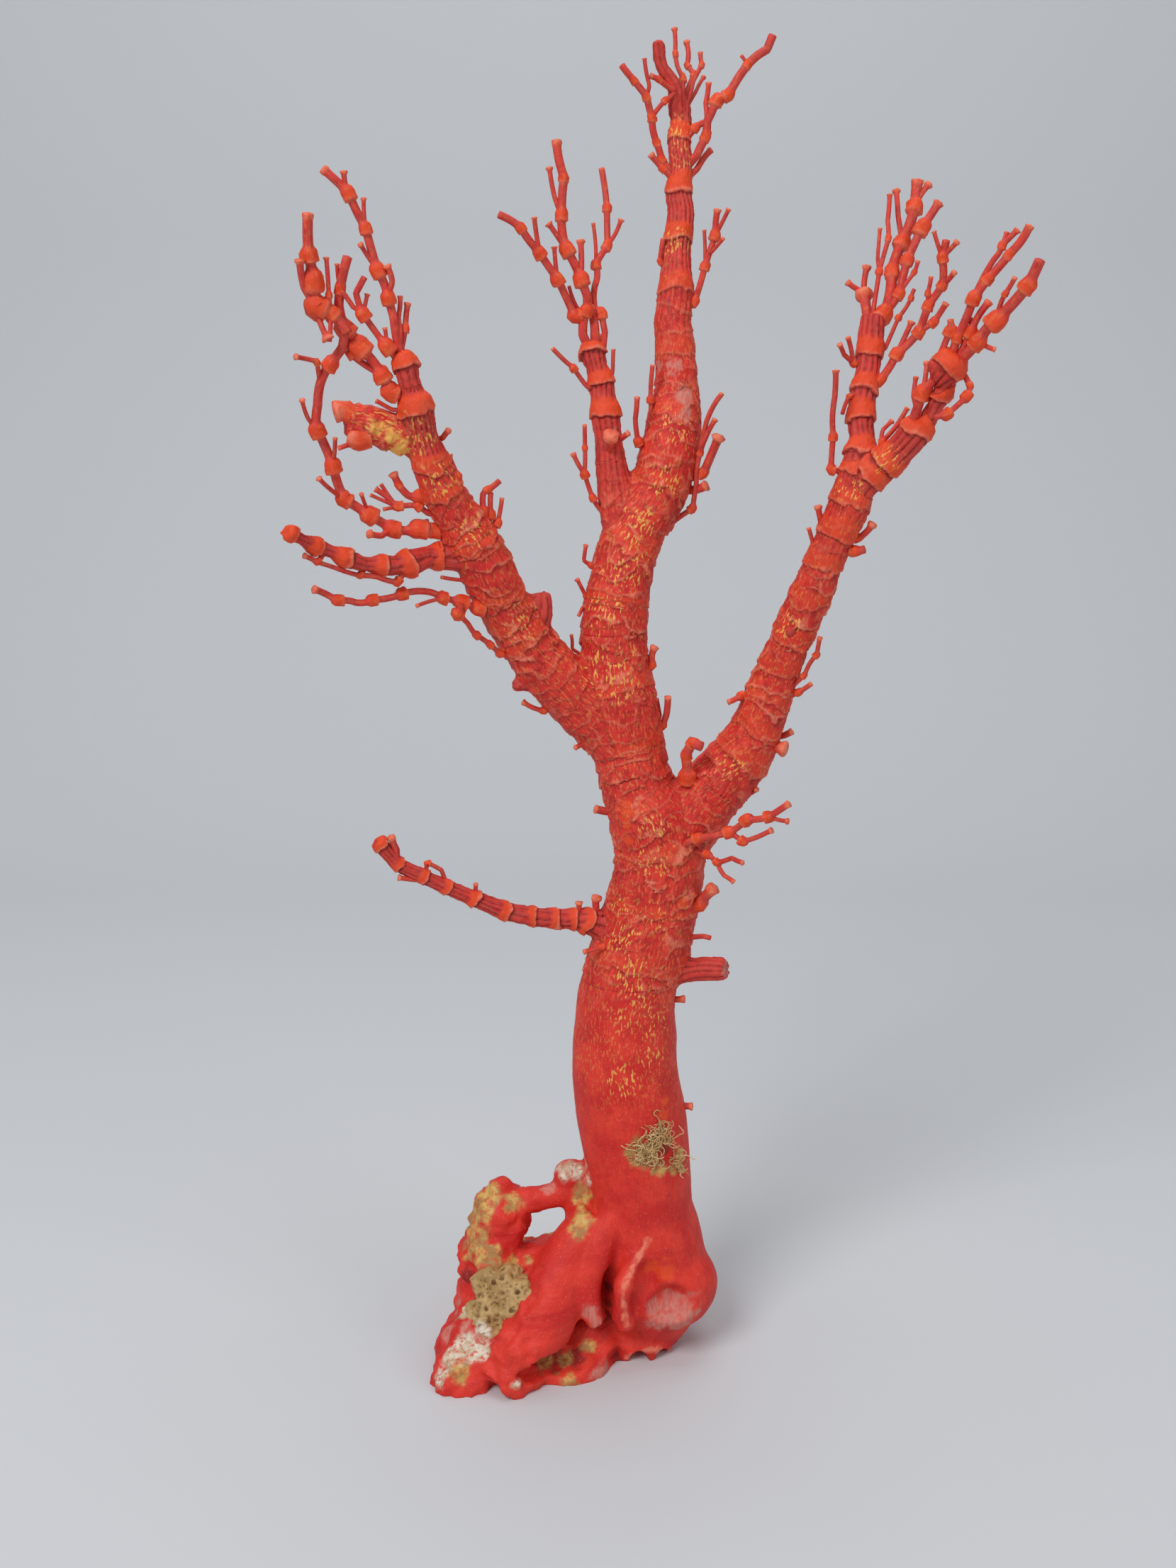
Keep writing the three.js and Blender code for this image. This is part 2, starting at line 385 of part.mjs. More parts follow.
const CENTRE_TWIGS = [
  twig(4.4, -32, -26, [10.6, 384, 0], [9.3, 388.2, 4.8], [9, 394.1, 5], [5, 400.1, 4.2],
    [3.8, 407.3, 2.4]),
  twig(1.6, -33, -40, [10.5, 390, 0], [11.3, 396.7, 2.4], [9.6, 400.1, 0], [8.9, 403.5, 2],
    [8.6, 410.4, 2.2]),
  twig(1.8, -34, -44, [11, 388, 0], [14.4, 398, 2.4], [12.3, 400.4, 2.2], [12, 406.8, 2]),
  twig(1.6, -34, -40, [11.4, 386, 0], [14.1, 396.1, 0], [16.6, 400.6, 2], [16.1, 403.9, 1.6]),
  twig(3, -28, -26, [11, 371, 0], [15.5, 376.2, 0], [18.1, 381.3, 3.4], [18.3, 385.3, 0],
    [20.9, 391, 4.2], [24.3, 392.4, 4], [29.7, 400.6, 3], [35.1, 404.6, 2.4], [36.8, 408.8, 2.2]),
  twig(1.8, -27, -30, [18.2, 384, 0], [17.8, 390.4, 0], [18.6, 396, 2]),
  twig(2.2, -30, -27, [11, 379, 0], [14.9, 383.6, 3], [18.3, 385.3, 0]),
  twig(2.4, -28, -22, [10, 369, 0], [5.3, 375.1, 2.8], [3.8, 379.6, 2.6], [2.4, 386.5, 3],
    [0.8, 392.1, 2.6], [-2.9, 396.4, 2.4], [-6.4, 400.5, 1.8]),
  twig(1.6, -25, -28, [2.4, 386.5, 0], [6.2, 391, 2.2], [9, 393, 0]),
  twig(2, -28, -24, [9, 393.5, 0], [4.2, 396.7, 2], [1.6, 397.7, 1.8]),
  twig(2.2, -27, -25, [9, 369, 0], [5.6, 372.6, 2.6], [1.8, 376.7, 2.4]),
  twig(2.2, -27, -32, [12, 368, 0], [15.5, 372.3, 0], [19.5, 377.6, 2.2]),
  twig(2.2, -18, -16, [11, 331, 0], [15.4, 335.6, 3.4], [18.3, 345.6, 3.2], [21.1, 354.1, 3.6],
    [21.7, 361.4, 2.4]),
  twig(1.5, -16, -14, [21.1, 354.1, 0], [25.1, 361.7, 1.8]),
  twig(1.6, -21, -20, [8, 343, 0], [5, 346.8, 2], [5.9, 353.5, 1.4]),
  twig(1.8, -6, 2, [5, 266, 0], [8.6, 270.7, 3.4], [15.6, 275.6, 3], [16.6, 283, 0], [17.7, 292.1, 2],
    [19.4, 301.2, 0], [24, 309.4, 1.6]),
  twig(1.8, -1, 2, [17.7, 292.1, 0], [19.1, 296.3, 0], [22.2, 302.1, 1.8]),
  twig(3, -6, 2, [12, 284, 0], [18.7, 286, 3.6], [23.4, 297.2, 4.2]),
  twig(3, -6, -2, [12, 281, 0], [20, 282.6, 3.4]),
  twig(1.8, -5, 0, [2, 291, 0], [-1, 295.4, 3.2], [-1.9, 301.9, 0], [-1.4, 308.4, 1.8]),
  twig(1.6, -7, -4, [5, 299, 0], [2.2, 301, 0], [2.6, 307.5, 2.6], [3.2, 317.8, 1.6]),
  twig(1.6, 0, 6, [-9, 272, 0], [-14.6, 278.8, 2.6], [-17, 285.8, 2.8], [-20.5, 291.9, 2]),
  twig(1.5, 2, 5, [-17, 285.8, 0], [-16.9, 293.5, 2], [-17, 300.3, 1.4]),
  twig(3, -6, -38, [-4, 255, 0], [-3, 260, 4.6], [-2, 268, 4.2], [0, 274, 4], [1, 280, 3.2]),
  twig(3, -12, -48, [9, 300, 0], [9, 306, 4.4], [11, 314, 4], [10, 322, 3.6], [11, 330, 3]),
  twig(2, -32, -64, [10.6, 376, 0], [11.4, 384, 3], [9.6, 392, 2.8], [11, 398, 2.2]),
];
const CENTRE_LEFT_TWIGS = [
  twig(3, -5, -6, [-15.2, 320.4, 0], [-17.6, 326, 0], [-16.4, 333, 4.6], [-16.3, 337.3, 0],
    [-18.1, 342, 5], [-22.3, 350.3, 4.8], [-23.7, 359.7, 4], [-22.9, 369.9, 3.2], [-25.2, 380.2, 3]),
  twig(3.4, -6, -7, [-13.6, 320.4, 0], [-13.8, 327, 0], [-15, 333.4, 0]),
  twig(2.2, -7, -9, [-11.6, 320.6, 0], [-11, 327, 0], [-12, 332.4, 3.6], [-15, 333.4, 0]),
  twig(3.6, -6, -6, [-19.6, 331, 4.6], [-14, 333.6, 0]),
  twig(1.6, -8, -6, [-23.7, 359.7, 0], [-25.7, 364.7, 0], [-27.2, 372.9, 2.2]),
  twig(1.8, -7, -4, [-22.3, 350.3, 0], [-27.7, 357.7, 2.4]),
  twig(2, -6, -8, [-18.1, 342, 0], [-18.2, 352.9, 2.8]),
  twig(2.6, -6, 6, [-17.4, 332, 0], [-20, 331.4, 4.6], [-25, 342, 4.2], [-30.2, 349.3, 4],
    [-35.7, 356.3, 3.2], [-42, 359.9, 1.8]),
  twig(1.6, 1, 4, [-30.2, 349.3, 0], [-31.7, 359.5, 2]),
  twig(1.5, -1, -4, [-25, 342, 0], [-25.9, 351.2, 2]),
  twig(2.2, -8, -22, [-14, 333.4, 0], [-14, 340, 0], [-13.7, 346, 3.2], [-10.3, 351.3, 3.2],
    [-10.5, 361.7, 3], [-12.1, 372.7, 2.2]),
  twig(1.5, -16, -14, [-10.3, 351.3, 0], [-6.2, 358.9, 2]),
  twig(1.6, -4, 2, [-12, 310.6, 0], [-16.3, 311.3, 0], [-20.3, 316.7, 2.6], [-26.7, 322.5, 1.4]),
  twig(3.6, 0, 6, [-9.6, 292.6, 0], [-9, 297.4, 5]),
  twig(2, 0, 4, [-9, 293.4, 0], [-3.6, 298, 2]),
  twig(2.8, -4, -24, [-11, 306, 0], [-11.6, 312, 4], [-13, 320, 3.6], [-12.6, 326, 3]),
];
const LOW_TWIGS = [
  twig(2.4, 20, 23, [-76.6, 164.4, 0], [-76.5, 169.4, 0], [-78, 173.8, 2.6]),
  twig(1.8, 18, 21, [-68, 160, 0], [-72, 159.7, 0], [-76.2, 160.3, 2]),
  twig(1.6, 16, 18, [-60.6, 157.8, 0], [-62.4, 162.8, 0], [-66.9, 165.2, 2.4], [-67.8, 161, 0]),
  twig(1.6, 13, 14, [-52.4, 153.4, 0], [-51.6, 158.4, 1.6]),
  twig(2, 5, 6, [-19, 147, 0], [-18.9, 152.5, 2.6]),
  twig(2.6, 4, 4, [-15.4, 146, 0], [-13.4, 150, 0], [-13.2, 154.2, 3.4]),
];

// Holdfast: roots and lumps round the foot of the trunk, with a through hole under an arch
function holdfast() {
  const grown = union([
    lump(9, 20.6, 4, 18.4, 18, 15.4),
    lump(0, -2, 8, 12.6, 8.4, 6.4),
    lump(-24, -12, 18, 15, 11, 9),
    lump(-16, 2, 10, 9, 8, 7),
    lump(-10, -5, 14, 5, 7, 5),
    root([4, 35, 14, 5], [-1.5, 24, 19.5, 6], [-6, 16, 22.5, 6], [-3, 5, 22.5, 5]),
    root([-8, 44, 12, 8], [-13, 30, 17, 9], [-16.5, 18, 19, 10], [-12, 5, 21, 8]),
    root([-13, 44, 8, 14], [-21, 32, 12, 17], [-28, 14, 18, 20], [-36, -3, 24, 22], [-46, -17, 28, 20]),
    lump(-28, 24, 4, 17, 14, 11),
    lump(-45, 44, 0, 9.6, 10, 11.6),
    lump(-45, 51.6, 0, 5.4, 5.4, 6.4),
    lump(-48, 28, 2, 11, 13, 14),
    lump(-48.5, 10, 6, 12.4, 16, 16),
    lump(-53, -6, 14, 14, 17, 16),
    lump(-58, -17, 25, 11, 11, 12),
    root([-44, 48, 0, 9], [-35.5, 49.6, 1, 7.4], [-27.5, 51.6, 1, 8.4], [-20, 54, 0, 11], [-11, 50, 0, 11]),
    root([-20.4, 54, 1, 8], [-20, 44, 3, 7.4], [-22, 32, 5, 8]),
    lump(-21.5, 59.2, 0, 6, 5.6, 5),
    lump(-14, 22, -20, 28, 24, 15),
    lump(-39, 19, -18, 18, 20, 14),
    root([2, 36, -14, 20], [0, 31, -34, 18], [-5, 34, -52, 14], [-8, 38, -64, 10]),
    root([-32, 28, -16, 16], [-41, 26, -32, 15], [-48, 28, -46, 11]),
  ]);
  const hollows = union([
    lump(12.5, 8.6, 27, 9.4, 7, 8),
    lump(-56.5, 23, 14, 3.2, 5, 2.6),
    lump(-27, -9, 36, 9, 7, 5),
    lump(-6, -8, 22, 4, 6, 5),
    lump(-7.4, 11, 26, 2.4, 6, 7),
    lump(-26, 26, -46, 9, 12, 9),
  ]);
  return grown.subtract(hollows);
}

// Porous rock that the holdfast grew round
function rock(grow) {
  return union([
    lump(-49.5, 12, 14, 10.4, 9.6, 13, grow),
    lump(-42, 14, 15.5, 8.6, 6.4, 8, grow),
    lump(-52.5, -3, 20, 9, 9.4, 9.4, grow),
  ]).asOriginal().simplify(ROCK_SMOOTHING);
}

// Matted fibres in a shallow scar on the front of the trunk
function tuft(grow) {
  return union([
    lump(8, 68.6, 17, 8.2, 2.8, 6, grow),
    lump(8.4, 74.6, 17, 5, 2.4, 3.6, grow),
    lump(2.2, 66, 17.6, 4, 2.2, 2.6, grow),
  ]).asOriginal().simplify(ROCK_SMOOTHING);
}

// Only what stands above the cut at the floor is kept.
const aboveFloor = solid(bare(new THREE.BoxGeometry(FLOOR_BLOCK, FLOOR_BLOCK, FLOOR_BLOCK * 2)
  .translate(0, 0, FLOOR_BLOCK)));

const footAndTrunk = union([
  limb(TRUNK, 0, STEM_CUT, TRUNK_SIDES),
  limb(RIGHT, 0, RIGHT_CUT),
  limb(LOW, 0, LOW_CUT),
  holdfast(),
]).asOriginal().simplify(LUMP_SMOOTHING);
const trunkBody = withTwigs([footAndTrunk], TRUNK_TWIGS);

const pieces = [
  ["trunk", CORAL, trunkBody.subtract(rock(ROCK_GAP)).subtract(tuft(ROCK_GAP)).intersect(aboveFloor)],
  ["holdfast_rock", ROCK, rock(0).intersect(aboveFloor)],
  ["fibre_tuft", FIBRE, tuft(0)],
  ["low_branch", CORAL, withTwigs([limb(LOW, LOW_CUT, LOW.length - 1)], LOW_TWIGS)],
  ["upper_stem", CORAL, withTwigs([
    limb(TRUNK, STEM_CUT, CENTRE_CUT),
    limb(LEFT, 0, LEFT_CUT),
  ], STEM_TWIGS)],
  ["left_limb", CORAL, withTwigs([
    limb(LEFT, LEFT_CUT, LEFT.length - 1),
    limb(SIDE, 0, SIDE_CUT),
  ], LEFT_TWIGS)],
  ["left_side_branch", CORAL, withTwigs([limb(SIDE, SIDE_CUT, SIDE.length - 1)], SIDE_TWIGS)],
  ["centre_limb", CORAL, withTwigs([
    limb(CENTRE, CENTRE_FROM, CENTRE.length - 1),
    limb(CENTRE_LEFT, 0, CENTRE_LEFT_CUT),
  ], CENTRE_TWIGS)],
  ["centre_left_limb", CORAL, withTwigs([
    limb(CENTRE_LEFT, CENTRE_LEFT_CUT, CENTRE_LEFT.length - 1),
  ], CENTRE_LEFT_TWIGS)],
  ["right_limb", CORAL, withTwigs([
    limb(RIGHT, RIGHT_CUT, RIGHT.length - 1),
    limb(OUTER, 0, OUTER_CUT),
  ], RIGHT_TWIGS)],
  ["right_inner_limb", CORAL, withTwigs([limb(INNER, 1, INNER.length - 1)], INNER_TWIGS)],
  ["right_outer_limb", CORAL, withTwigs([limb(OUTER, OUTER_CUT, OUTER.length - 1)], OUTER_TWIGS)],
];

// Back to three.js: one named mesh per piece
function meshOf(name, finish, shape) {
  const mesh = shape.asOriginal().simplify(TWIG_SMOOTHING).getMesh();
  const geometry = new THREE.BufferGeometry();
  geometry.setAttribute("position", new THREE.Float32BufferAttribute(mesh.vertProperties, 3));
  geometry.setIndex(new THREE.Uint32BufferAttribute(mesh.triVerts, 1));
  const result = new THREE.Mesh(geometry, new THREE.MeshStandardMaterial(finish));
  result.name = name;
  return result;
}

const coral = new THREE.Group();
for (const [name, finish, shape] of pieces) {
  coral.add(meshOf(name, finish, shape));
}
export default coral;
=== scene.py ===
# %% [markdown]
# A branch of red coral, about 42 cm tall, standing on the flat cut under its broken holdfast.
# The solids of the branch come in as a fixed frame, in metres, with +Z up and the front towards -Y.
# Every mesh below is grown over that frame: the frame gives the size and the forks, and this lesson
# gives the skin, the knuckles, the rock and the colour.

# %% Load the frame
import itertools
import math

import bmesh
import bpy
import numpy as np
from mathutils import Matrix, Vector
from mathutils.bvhtree import BVHTree


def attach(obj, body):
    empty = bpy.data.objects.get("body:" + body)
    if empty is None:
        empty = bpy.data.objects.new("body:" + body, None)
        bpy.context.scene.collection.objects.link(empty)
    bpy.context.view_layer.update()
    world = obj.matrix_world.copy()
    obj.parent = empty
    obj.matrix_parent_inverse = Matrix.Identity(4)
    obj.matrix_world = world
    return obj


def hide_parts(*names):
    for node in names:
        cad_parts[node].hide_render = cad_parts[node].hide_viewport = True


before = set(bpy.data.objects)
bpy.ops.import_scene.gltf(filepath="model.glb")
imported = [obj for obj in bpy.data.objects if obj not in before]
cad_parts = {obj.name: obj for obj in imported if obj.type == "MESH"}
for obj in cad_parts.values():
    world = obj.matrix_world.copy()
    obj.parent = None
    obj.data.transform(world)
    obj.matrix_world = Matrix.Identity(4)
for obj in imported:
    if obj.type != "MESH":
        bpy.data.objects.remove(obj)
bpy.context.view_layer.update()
print("solids:", sorted(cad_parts))

# %% [markdown]
# The camera comes first, because the whole branch is measured through it. It stands half a metre in
# front of the branch at the height of its upper limbs and looks slightly down. One could also guess a
# lens and crop the picture, but then the foot would not look as near as it does.

# %% Camera
MM = 0.001
EYE = np.array([-16.0, -480.0, 290.0])
LOOK_DOWN = math.radians(11.7)
PICTURE_HEIGHT = 2212
FOCAL_PIXELS = 2209
SENSOR = 36

lens = bpy.data.cameras.new("camera")
lens.sensor_fit = "VERTICAL"
lens.sensor_height = SENSOR
lens.lens = SENSOR * FOCAL_PIXELS / PICTURE_HEIGHT
camera = bpy.data.objects.new("camera", lens)
camera.location = Vector(EYE * MM)
camera.rotation_euler = (math.pi / 2 - LOOK_DOWN, 0, 0)
bpy.context.scene.collection.objects.link(camera)
bpy.context.scene.camera = camera
print("lens, mm:", round(lens.lens, 2))

# %% [markdown]
# The skeleton of the branch is the read-off list of places that the solids were made from, with a few
# more rings and finer twigs, in millimetres. A limb is a row of stations: across, height, depth towards
# the viewer, diameter, and the lip of a growth ring if there is one there. A smooth curve runs through
# the stations.

# %% Limbs of the skeleton
TRUNK = [
    (0, -6, -6, 22), (2, 6, -3, 28), (4.6, 20, 0, 40), (3, 36, 0, 38.4), (1.4, 48, 0, 34.6),
    (0.5, 62, 0, 34.6), (-1.5, 78, 0, 36), (-4, 96, 0, 34.6), (-4, 108, 0, 33.2), (-3.6, 120, 0, 31.4),
    (-1, 132, 0, 30.4, 0.6), (2, 142, 0, 30.6), (4.4, 152, 0, 29, 0.6), (6, 161, 1, 28.4),
    (6.6, 170, 1, 28.6, 0.6), (4, 179, 2, 27), (0.2, 188, 2, 22.6), (-1.8, 195, 2, 22.2),
    (-3.6, 203, 2, 22.4, 0.5), (-5.4, 212, 3, 23), (-6.8, 221, 3, 22.6, 0.5), (-7.8, 230, 3, 21.2),
    (-8, 238, 3, 20.2), (-7.4, 246, 2, 19.6),
]
RIGHT = [
    (6, 164, 1, 22), (15, 178, 1, 22.4), (24.5, 191, 2, 20.4), (32, 200, 4, 18.6, 0.6),
    (36.6, 209, 6, 15.6, 0.6), (39.6, 218, 8, 14.8, 0.7), (42.6, 227, 10, 13, 0.7),
    (46.6, 237, 13, 12.4, 0.8), (51.4, 248.5, 17, 12.8, 0.8), (55.6, 259, 20, 11.6, 0.4),
    (59.6, 268.5, 23, 11.2, 0.8), (63, 277.5, 25, 12, 0.7), (64.6, 285, 25.5, 10.4, 0.7),
    (65.6, 291, 24, 9),
]
INNER = [
    (64.6, 285, 25.5, 10.4), (65.6, 291.4, 24, 9, 0.7), (66, 296, 22, 7.2), (65.3, 302, 20, 7.8, 0.6),
    (66, 309.5, 17, 7.6, 0.5), (66.8, 315, 15, 7.2), (67.4, 320, 13, 7.8, 0.5), (67.6, 326, 11, 8),
    (68, 332, 10, 7.2),
]
OUTER = [
    (63, 279, 25, 10), (69, 285.5, 27.5, 10, 0.7), (73.6, 289, 30, 9.4, 0.7), (78.4, 293.6, 33, 8.6),
    (82.4, 298.8, 36, 9.4, 0.6), (83.6, 301, 37, 7),
]
LEFT = [
    (-6, 205, 3, 20), (-16, 214.5, 4, 19.6), (-24.5, 223, 8, 18.2), (-31.4, 231, 11.8, 17),
    (-35, 236, 13.6, 16.6, 0.6), (-39, 242, 16, 16, 0.6), (-43, 249, 19, 15.8, 0.6),
    (-46.6, 257, 23, 15.8), (-50.5, 265, 26, 15.2, 0.7), (-55.5, 273, 29, 13.4),
    (-59.5, 280, 32, 11.6, 0.8), (-63, 288.5, 35, 11.2, 0.5), (-65.2, 297, 38, 8),
    (-67, 304.5, 40.5, 9.6, 0.7), (-68, 308, 41, 9),
]
SIDE = [
    (-51, 261, 24.5, 9), (-61.5, 261, 29, 7.6, 0.6), (-64.6, 261, 31, 6.2), (-70.6, 259, 35, 8.4, 0.5),
    (-74.5, 258.5, 38, 5.6), (-78.4, 258.6, 40, 6.4, 0.4), (-83.5, 258.8, 43, 4.2),
    (-89.5, 260.7, 46, 5.6, 0.4), (-94, 262.6, 48.5, 3.8), (-98.6, 264.2, 51, 6, 0.4),
    (-103, 266.6, 55, 3.6),
    (-105.4, 267.8, 57.2, 4.8, 0.4), (-107.3, 268.8, 59, 5.4),
]
CENTRE = [
    (-7.8, 230, 3, 21.2), (-8, 238, 3, 20.2), (-7.4, 246, 2, 19.6, 0.5), (-6.2, 253, 1, 19),
    (-4.4, 262, 0, 18.2, 0.5), (-0.6, 271, -2, 18.6), (4.6, 280, -4, 18.2, 0.5), (8, 290, -6, 18),
    (9.6, 300, -9, 17, 0.4), (10.3, 310, -12, 14), (9.9, 320, -14.5, 12.2, 0.4), (9, 330, -17, 11.6),
    (9.8, 338, -19, 11, 0.5), (9.9, 345, -21, 9.6), (10.2, 352, -23, 8.8, 0.3), (11.2, 360, -25, 8.4),
    (10.4, 366, -26.5, 8, 0.4), (11, 372, -28, 7), (10.2, 380, -30, 7.2, 0.3), (11, 386, -32, 6.4),
    (10.5, 391, -33, 5.4),
]
CENTRE_LEFT = [
    (-3.6, 262, 0, 13), (-7.4, 276, -1, 11), (-9.2, 290, -2, 9.6), (-9.9, 296.5, -2.5, 8.4),
    (-10.7, 303, -3, 9, 0.6), (-11.5, 308, -4, 7.4), (-12, 311.5, -4.5, 8, 0.6), (-13.4, 316.6, -5, 6.6),
    (-14.7, 321, -5.5, 8.6, 0.7), (-15, 324, -6, 6),
]
LOW = [
    (-4, 142, 2, 9.6), (-13.4, 145.2, 4, 9), (-15.8, 146, 4.5, 8.4, 0.6), (-20.4, 146.6, 5.5, 7.2, 0.4),
    (-25.8, 146.9, 7, 6.8, 0.4), (-33.3, 147.5, 9, 6.4, 0.4), (-42, 149.3, 11, 6.2, 0.4),
    (-51.6, 153.2, 13.5, 5.6, 0.5), (-60.6, 157.1, 16, 5.2, 0.4), (-67.8, 160.4, 18, 4.8, 0.4),
    (-75.9, 164.6, 20, 4.6, 0.5), (-81, 170.6, 22.3, 5, 0.4), (-82.5, 172.4, 23, 5.4),
]

# %% [markdown]
# The crown is all jointed twigs. Each one is a straight rod that grows from knuckle to knuckle and ends
# in a small flared cap. A twig is written as the rod's diameter, the depth of its root and of its tip,
# and its places as across, height and knuckle diameter. A knuckle of 0 is a plain bend.

# %% Twigs of the skeleton
TRUNK_TWIGS = [
    (2.4, 12, 30, (14, 171, 0), (18.7, 173.2, 3.6), (28.7, 175.1, 4), (34.1, 179.3, 4), (41, 180.1, 3.6),
     (47.1, 184.3, 2.4)),
    (1.5, 25, 29, (41, 180.1, 0), (47.1, 178.6, 2)),
    (1.8, 18, 26, (28.7, 175.1, 0), (32.9, 172, 3.4), (42.1, 175.9, 2.2)),
    (1.8, 8, 24, (15, 170, 0), (21.8, 167.8, 3), (24.9, 165.1, 2.6), (29.5, 166.7, 0),
     (33.3, 165.1, 1.6)),
    (1.6, 15, 20, (24.9, 165.1, 0), (27.2, 160.9, 0), (30.4, 158.8, 1.8)),
    (4, 2, 10, (12, 150, 0), (19.6, 152, 5.4), (24, 157, 4.4)),
    (7.6, 0, 8, (8, 128, 0), (20, 129.8, 8), (28.6, 130.2, 7)),
    (2, 4, 8, (12, 140, 0), (21, 141, 0), (23.7, 140.2, 1.6)),
    (2.4, 2, 4, (8, 119.6, 0), (15.2, 119.8, 2.6)),
    (2.6, 0, 2, (10, 83.4, 0), (18.2, 83, 2.4)),
    (3, 2, 4, (-6, 182, 0), (-14.2, 182.8, 2.6)),
    (1.8, 8, 12, (-6, 139, 0), (-12, 137.4, 2.4), (-17.4, 135.6, 1.6)),
    (3.6, 4, 16, (17, 184, 0), (15, 193.4, 5.6), (14.4, 199.6, 3.4), (16.6, 204, 3.6), (19.8, 202.4, 3)),
    (3.4, -10, -30, (2, 150, 0), (4, 158, 4.6), (3, 168, 4), (5, 174, 3.4)),
    (4, -10, -26, (-2, 112, 0), (-3, 120, 5)),
]
STEM_TWIGS = [
    (2.4, 0, 4, (2, 205, 0), (7, 209, 3), (8.4, 213, 0), (8.7, 218.4, 2.4)),
    (1.8, 4, 8, (-12, 204, 0), (-17.3, 203.5, 0), (-20.2, 202, 1.8)),
    (1.8, 6, 10, (-20, 216, 0), (-30, 213.8, 2.4), (-36.3, 216.6, 2)),
    (3.4, -6, -40, (-4, 210, 0), (-4, 216, 4.6), (-6, 222, 4.4), (-5, 228, 4)),
    (2.4, 4, 6, (0, 226, 0), (3.8, 228, 2.8), (4.7, 233.8, 2.6)),
    (4.2, 9, 14, (-30, 222.6, 0), (-39.2, 221.4, 4.2)),
    (1.3, 2, 0, (5, 208, 0), (6.4, 212, 0), (5.3, 217.7, 1.4)),
    (1.2, 4, 6, (-17, 230, 0), (-20.9, 233, 0), (-21.2, 237.6, 1.2)),
]
RIGHT_TWIGS = [
    (4, 6, 10, (38, 203, 0), (46, 201.4, 5)),
    (2.4, 4, 6, (40, 204.5, 0), (45, 206, 0), (47.6, 207.4, 2.4)),
    (1.6, 4, 8, (34, 187, 0), (37, 189, 1.8)),
    (1.8, 9, 14, (44, 217, 0), (49.2, 219.6, 2.4), (53.2, 222.4, 1.8)),
    (1.6, 10, 20, (45, 219, 0), (50.8, 224.8, 2), (54.4, 231.2, 2.2), (55.2, 236.6, 1.8)),
    (2, 8, 12, (36, 219, 0), (31.2, 218.4, 2.6), (27.2, 216.4, 1.8)),
    (2, 22, 24, (58, 268, 0), (54.8, 270.4, 2.6), (53.4, 276.4, 2.4)),
    (2.2, 22, 26, (61, 265, 0), (66, 266.6, 2.6), (70.4, 271.2, 2.8)),
    (2.8, 22, 26, (58, 262, 0), (65.2, 262.8, 3.4), (68.8, 263.6, 2)),
    (1.9, 25, 28, (62, 286, 0), (57, 287, 3.2), (57.4, 296.7, 2.8), (57.5, 308.4, 0), (57.5, 316.2, 2)),
    (3.2, 20, -2, (46, 238, 0), (47, 243, 4.6), (48, 249, 3.6)),
    (2.8, 6, -16, (34, 206, 0), (36, 212, 4), (36, 218, 3)),
    (1.4, 21, 24, (56, 262, 0), (52.4, 264.8, 2), (50.8, 270, 1.4)),
]
INNER_TWIGS = [
    (3.4, 9, 2, (66.6, 328, 0), (65.9, 333.6, 0), (65, 338.2, 5.4)),
    (1.8, 2, 2, (65, 338.2, 0), (59.9, 341.1, 2)),
    (2, 2, 0, (65, 338.2, 0), (65.8, 345.6, 2.6)),
    (3.6, 10, -6, (68, 328, 0), (71.3, 332.1, 5.6), (73.1, 344.1, 4.6), (75.8, 352.2, 4.8),
     (79.1, 362.4, 5), (79.6, 369.9, 3.8)),
    (2, -5, -6, (79.1, 362.4, 0), (83, 368.4, 2.6)),
    (2.8, 6, 4, (71.3, 332.1, 0), (75.5, 337.8, 3.8), (77.6, 347.4, 4), (81.5, 356.4, 5),
     (86.2, 363.6, 3)),
    (1.8, -2, -6, (75.8, 352.2, 0), (74.3, 359.4, 0), (73.4, 366.8, 2.4)),
    (1.6, 8, 0, (68, 331, 0), (68.6, 337.8, 0), (69.4, 344.1, 2.4), (71.8, 353.4, 2), (71.3, 358.2, 0),
     (71.6, 365.6, 1.6)),
    (2.6, 16, 24, (67, 310, 0), (71, 313.2, 3.2), (75.5, 320.7, 4), (81.8, 327, 3.8), (84.2, 334.5, 3.2),
     (88.2, 340.2, 3), (87.7, 348, 3.2), (88.6, 352.8, 2)),
    (1.6, 24, 26, (87.7, 348, 0), (92, 352.5, 2)),
    (1.8, 23, 26, (88.2, 340.2, 0), (91.6, 344.1, 2)),
    (1.8, 18, 18, (75.5, 320.7, 0), (79.6, 330, 2.2)),
    (2, 20, 24, (81.8, 327, 0), (86, 329.7, 2.8), (89.6, 335.4, 2.2)),
    (1.6, 14, 18, (66, 317, 0), (62.6, 318, 2.4), (60.8, 325.5, 1.6)),
    (1.6, 16, 20, (62.6, 318, 0), (59.9, 320.4, 0), (58.3, 323.6, 1.8)),
    (3, 14, -12, (67, 318, 0), (68, 324, 4), (70, 332, 3.4)),
    (1.3, 4, 2, (69.4, 344.1, 0), (68.9, 351, 0), (69.2, 356.1, 1.4)),
    (1.4, 6, 8, (75.5, 337.8, 0), (79.7, 343.8, 1.8), (80.6, 347.1, 1.4)),
    (1.4, 12, 14, (68, 320, 0), (71.9, 322, 0), (75.5, 330.9, 2), (79.1, 336.6, 1.8), (80, 339.3, 1.2)),
    (1.4, 24, 25, (87.7, 348, 0), (84.8, 355.5, 1.4)),
    (1.4, 21, 22, (84.2, 334.5, 0), (83.9, 338, 1.8), (84.7, 342.6, 1.6)),
    (1.4, 18, 22, (66, 311, 0), (61.7, 308.4, 1.8), (59.9, 303.4, 0)),
]
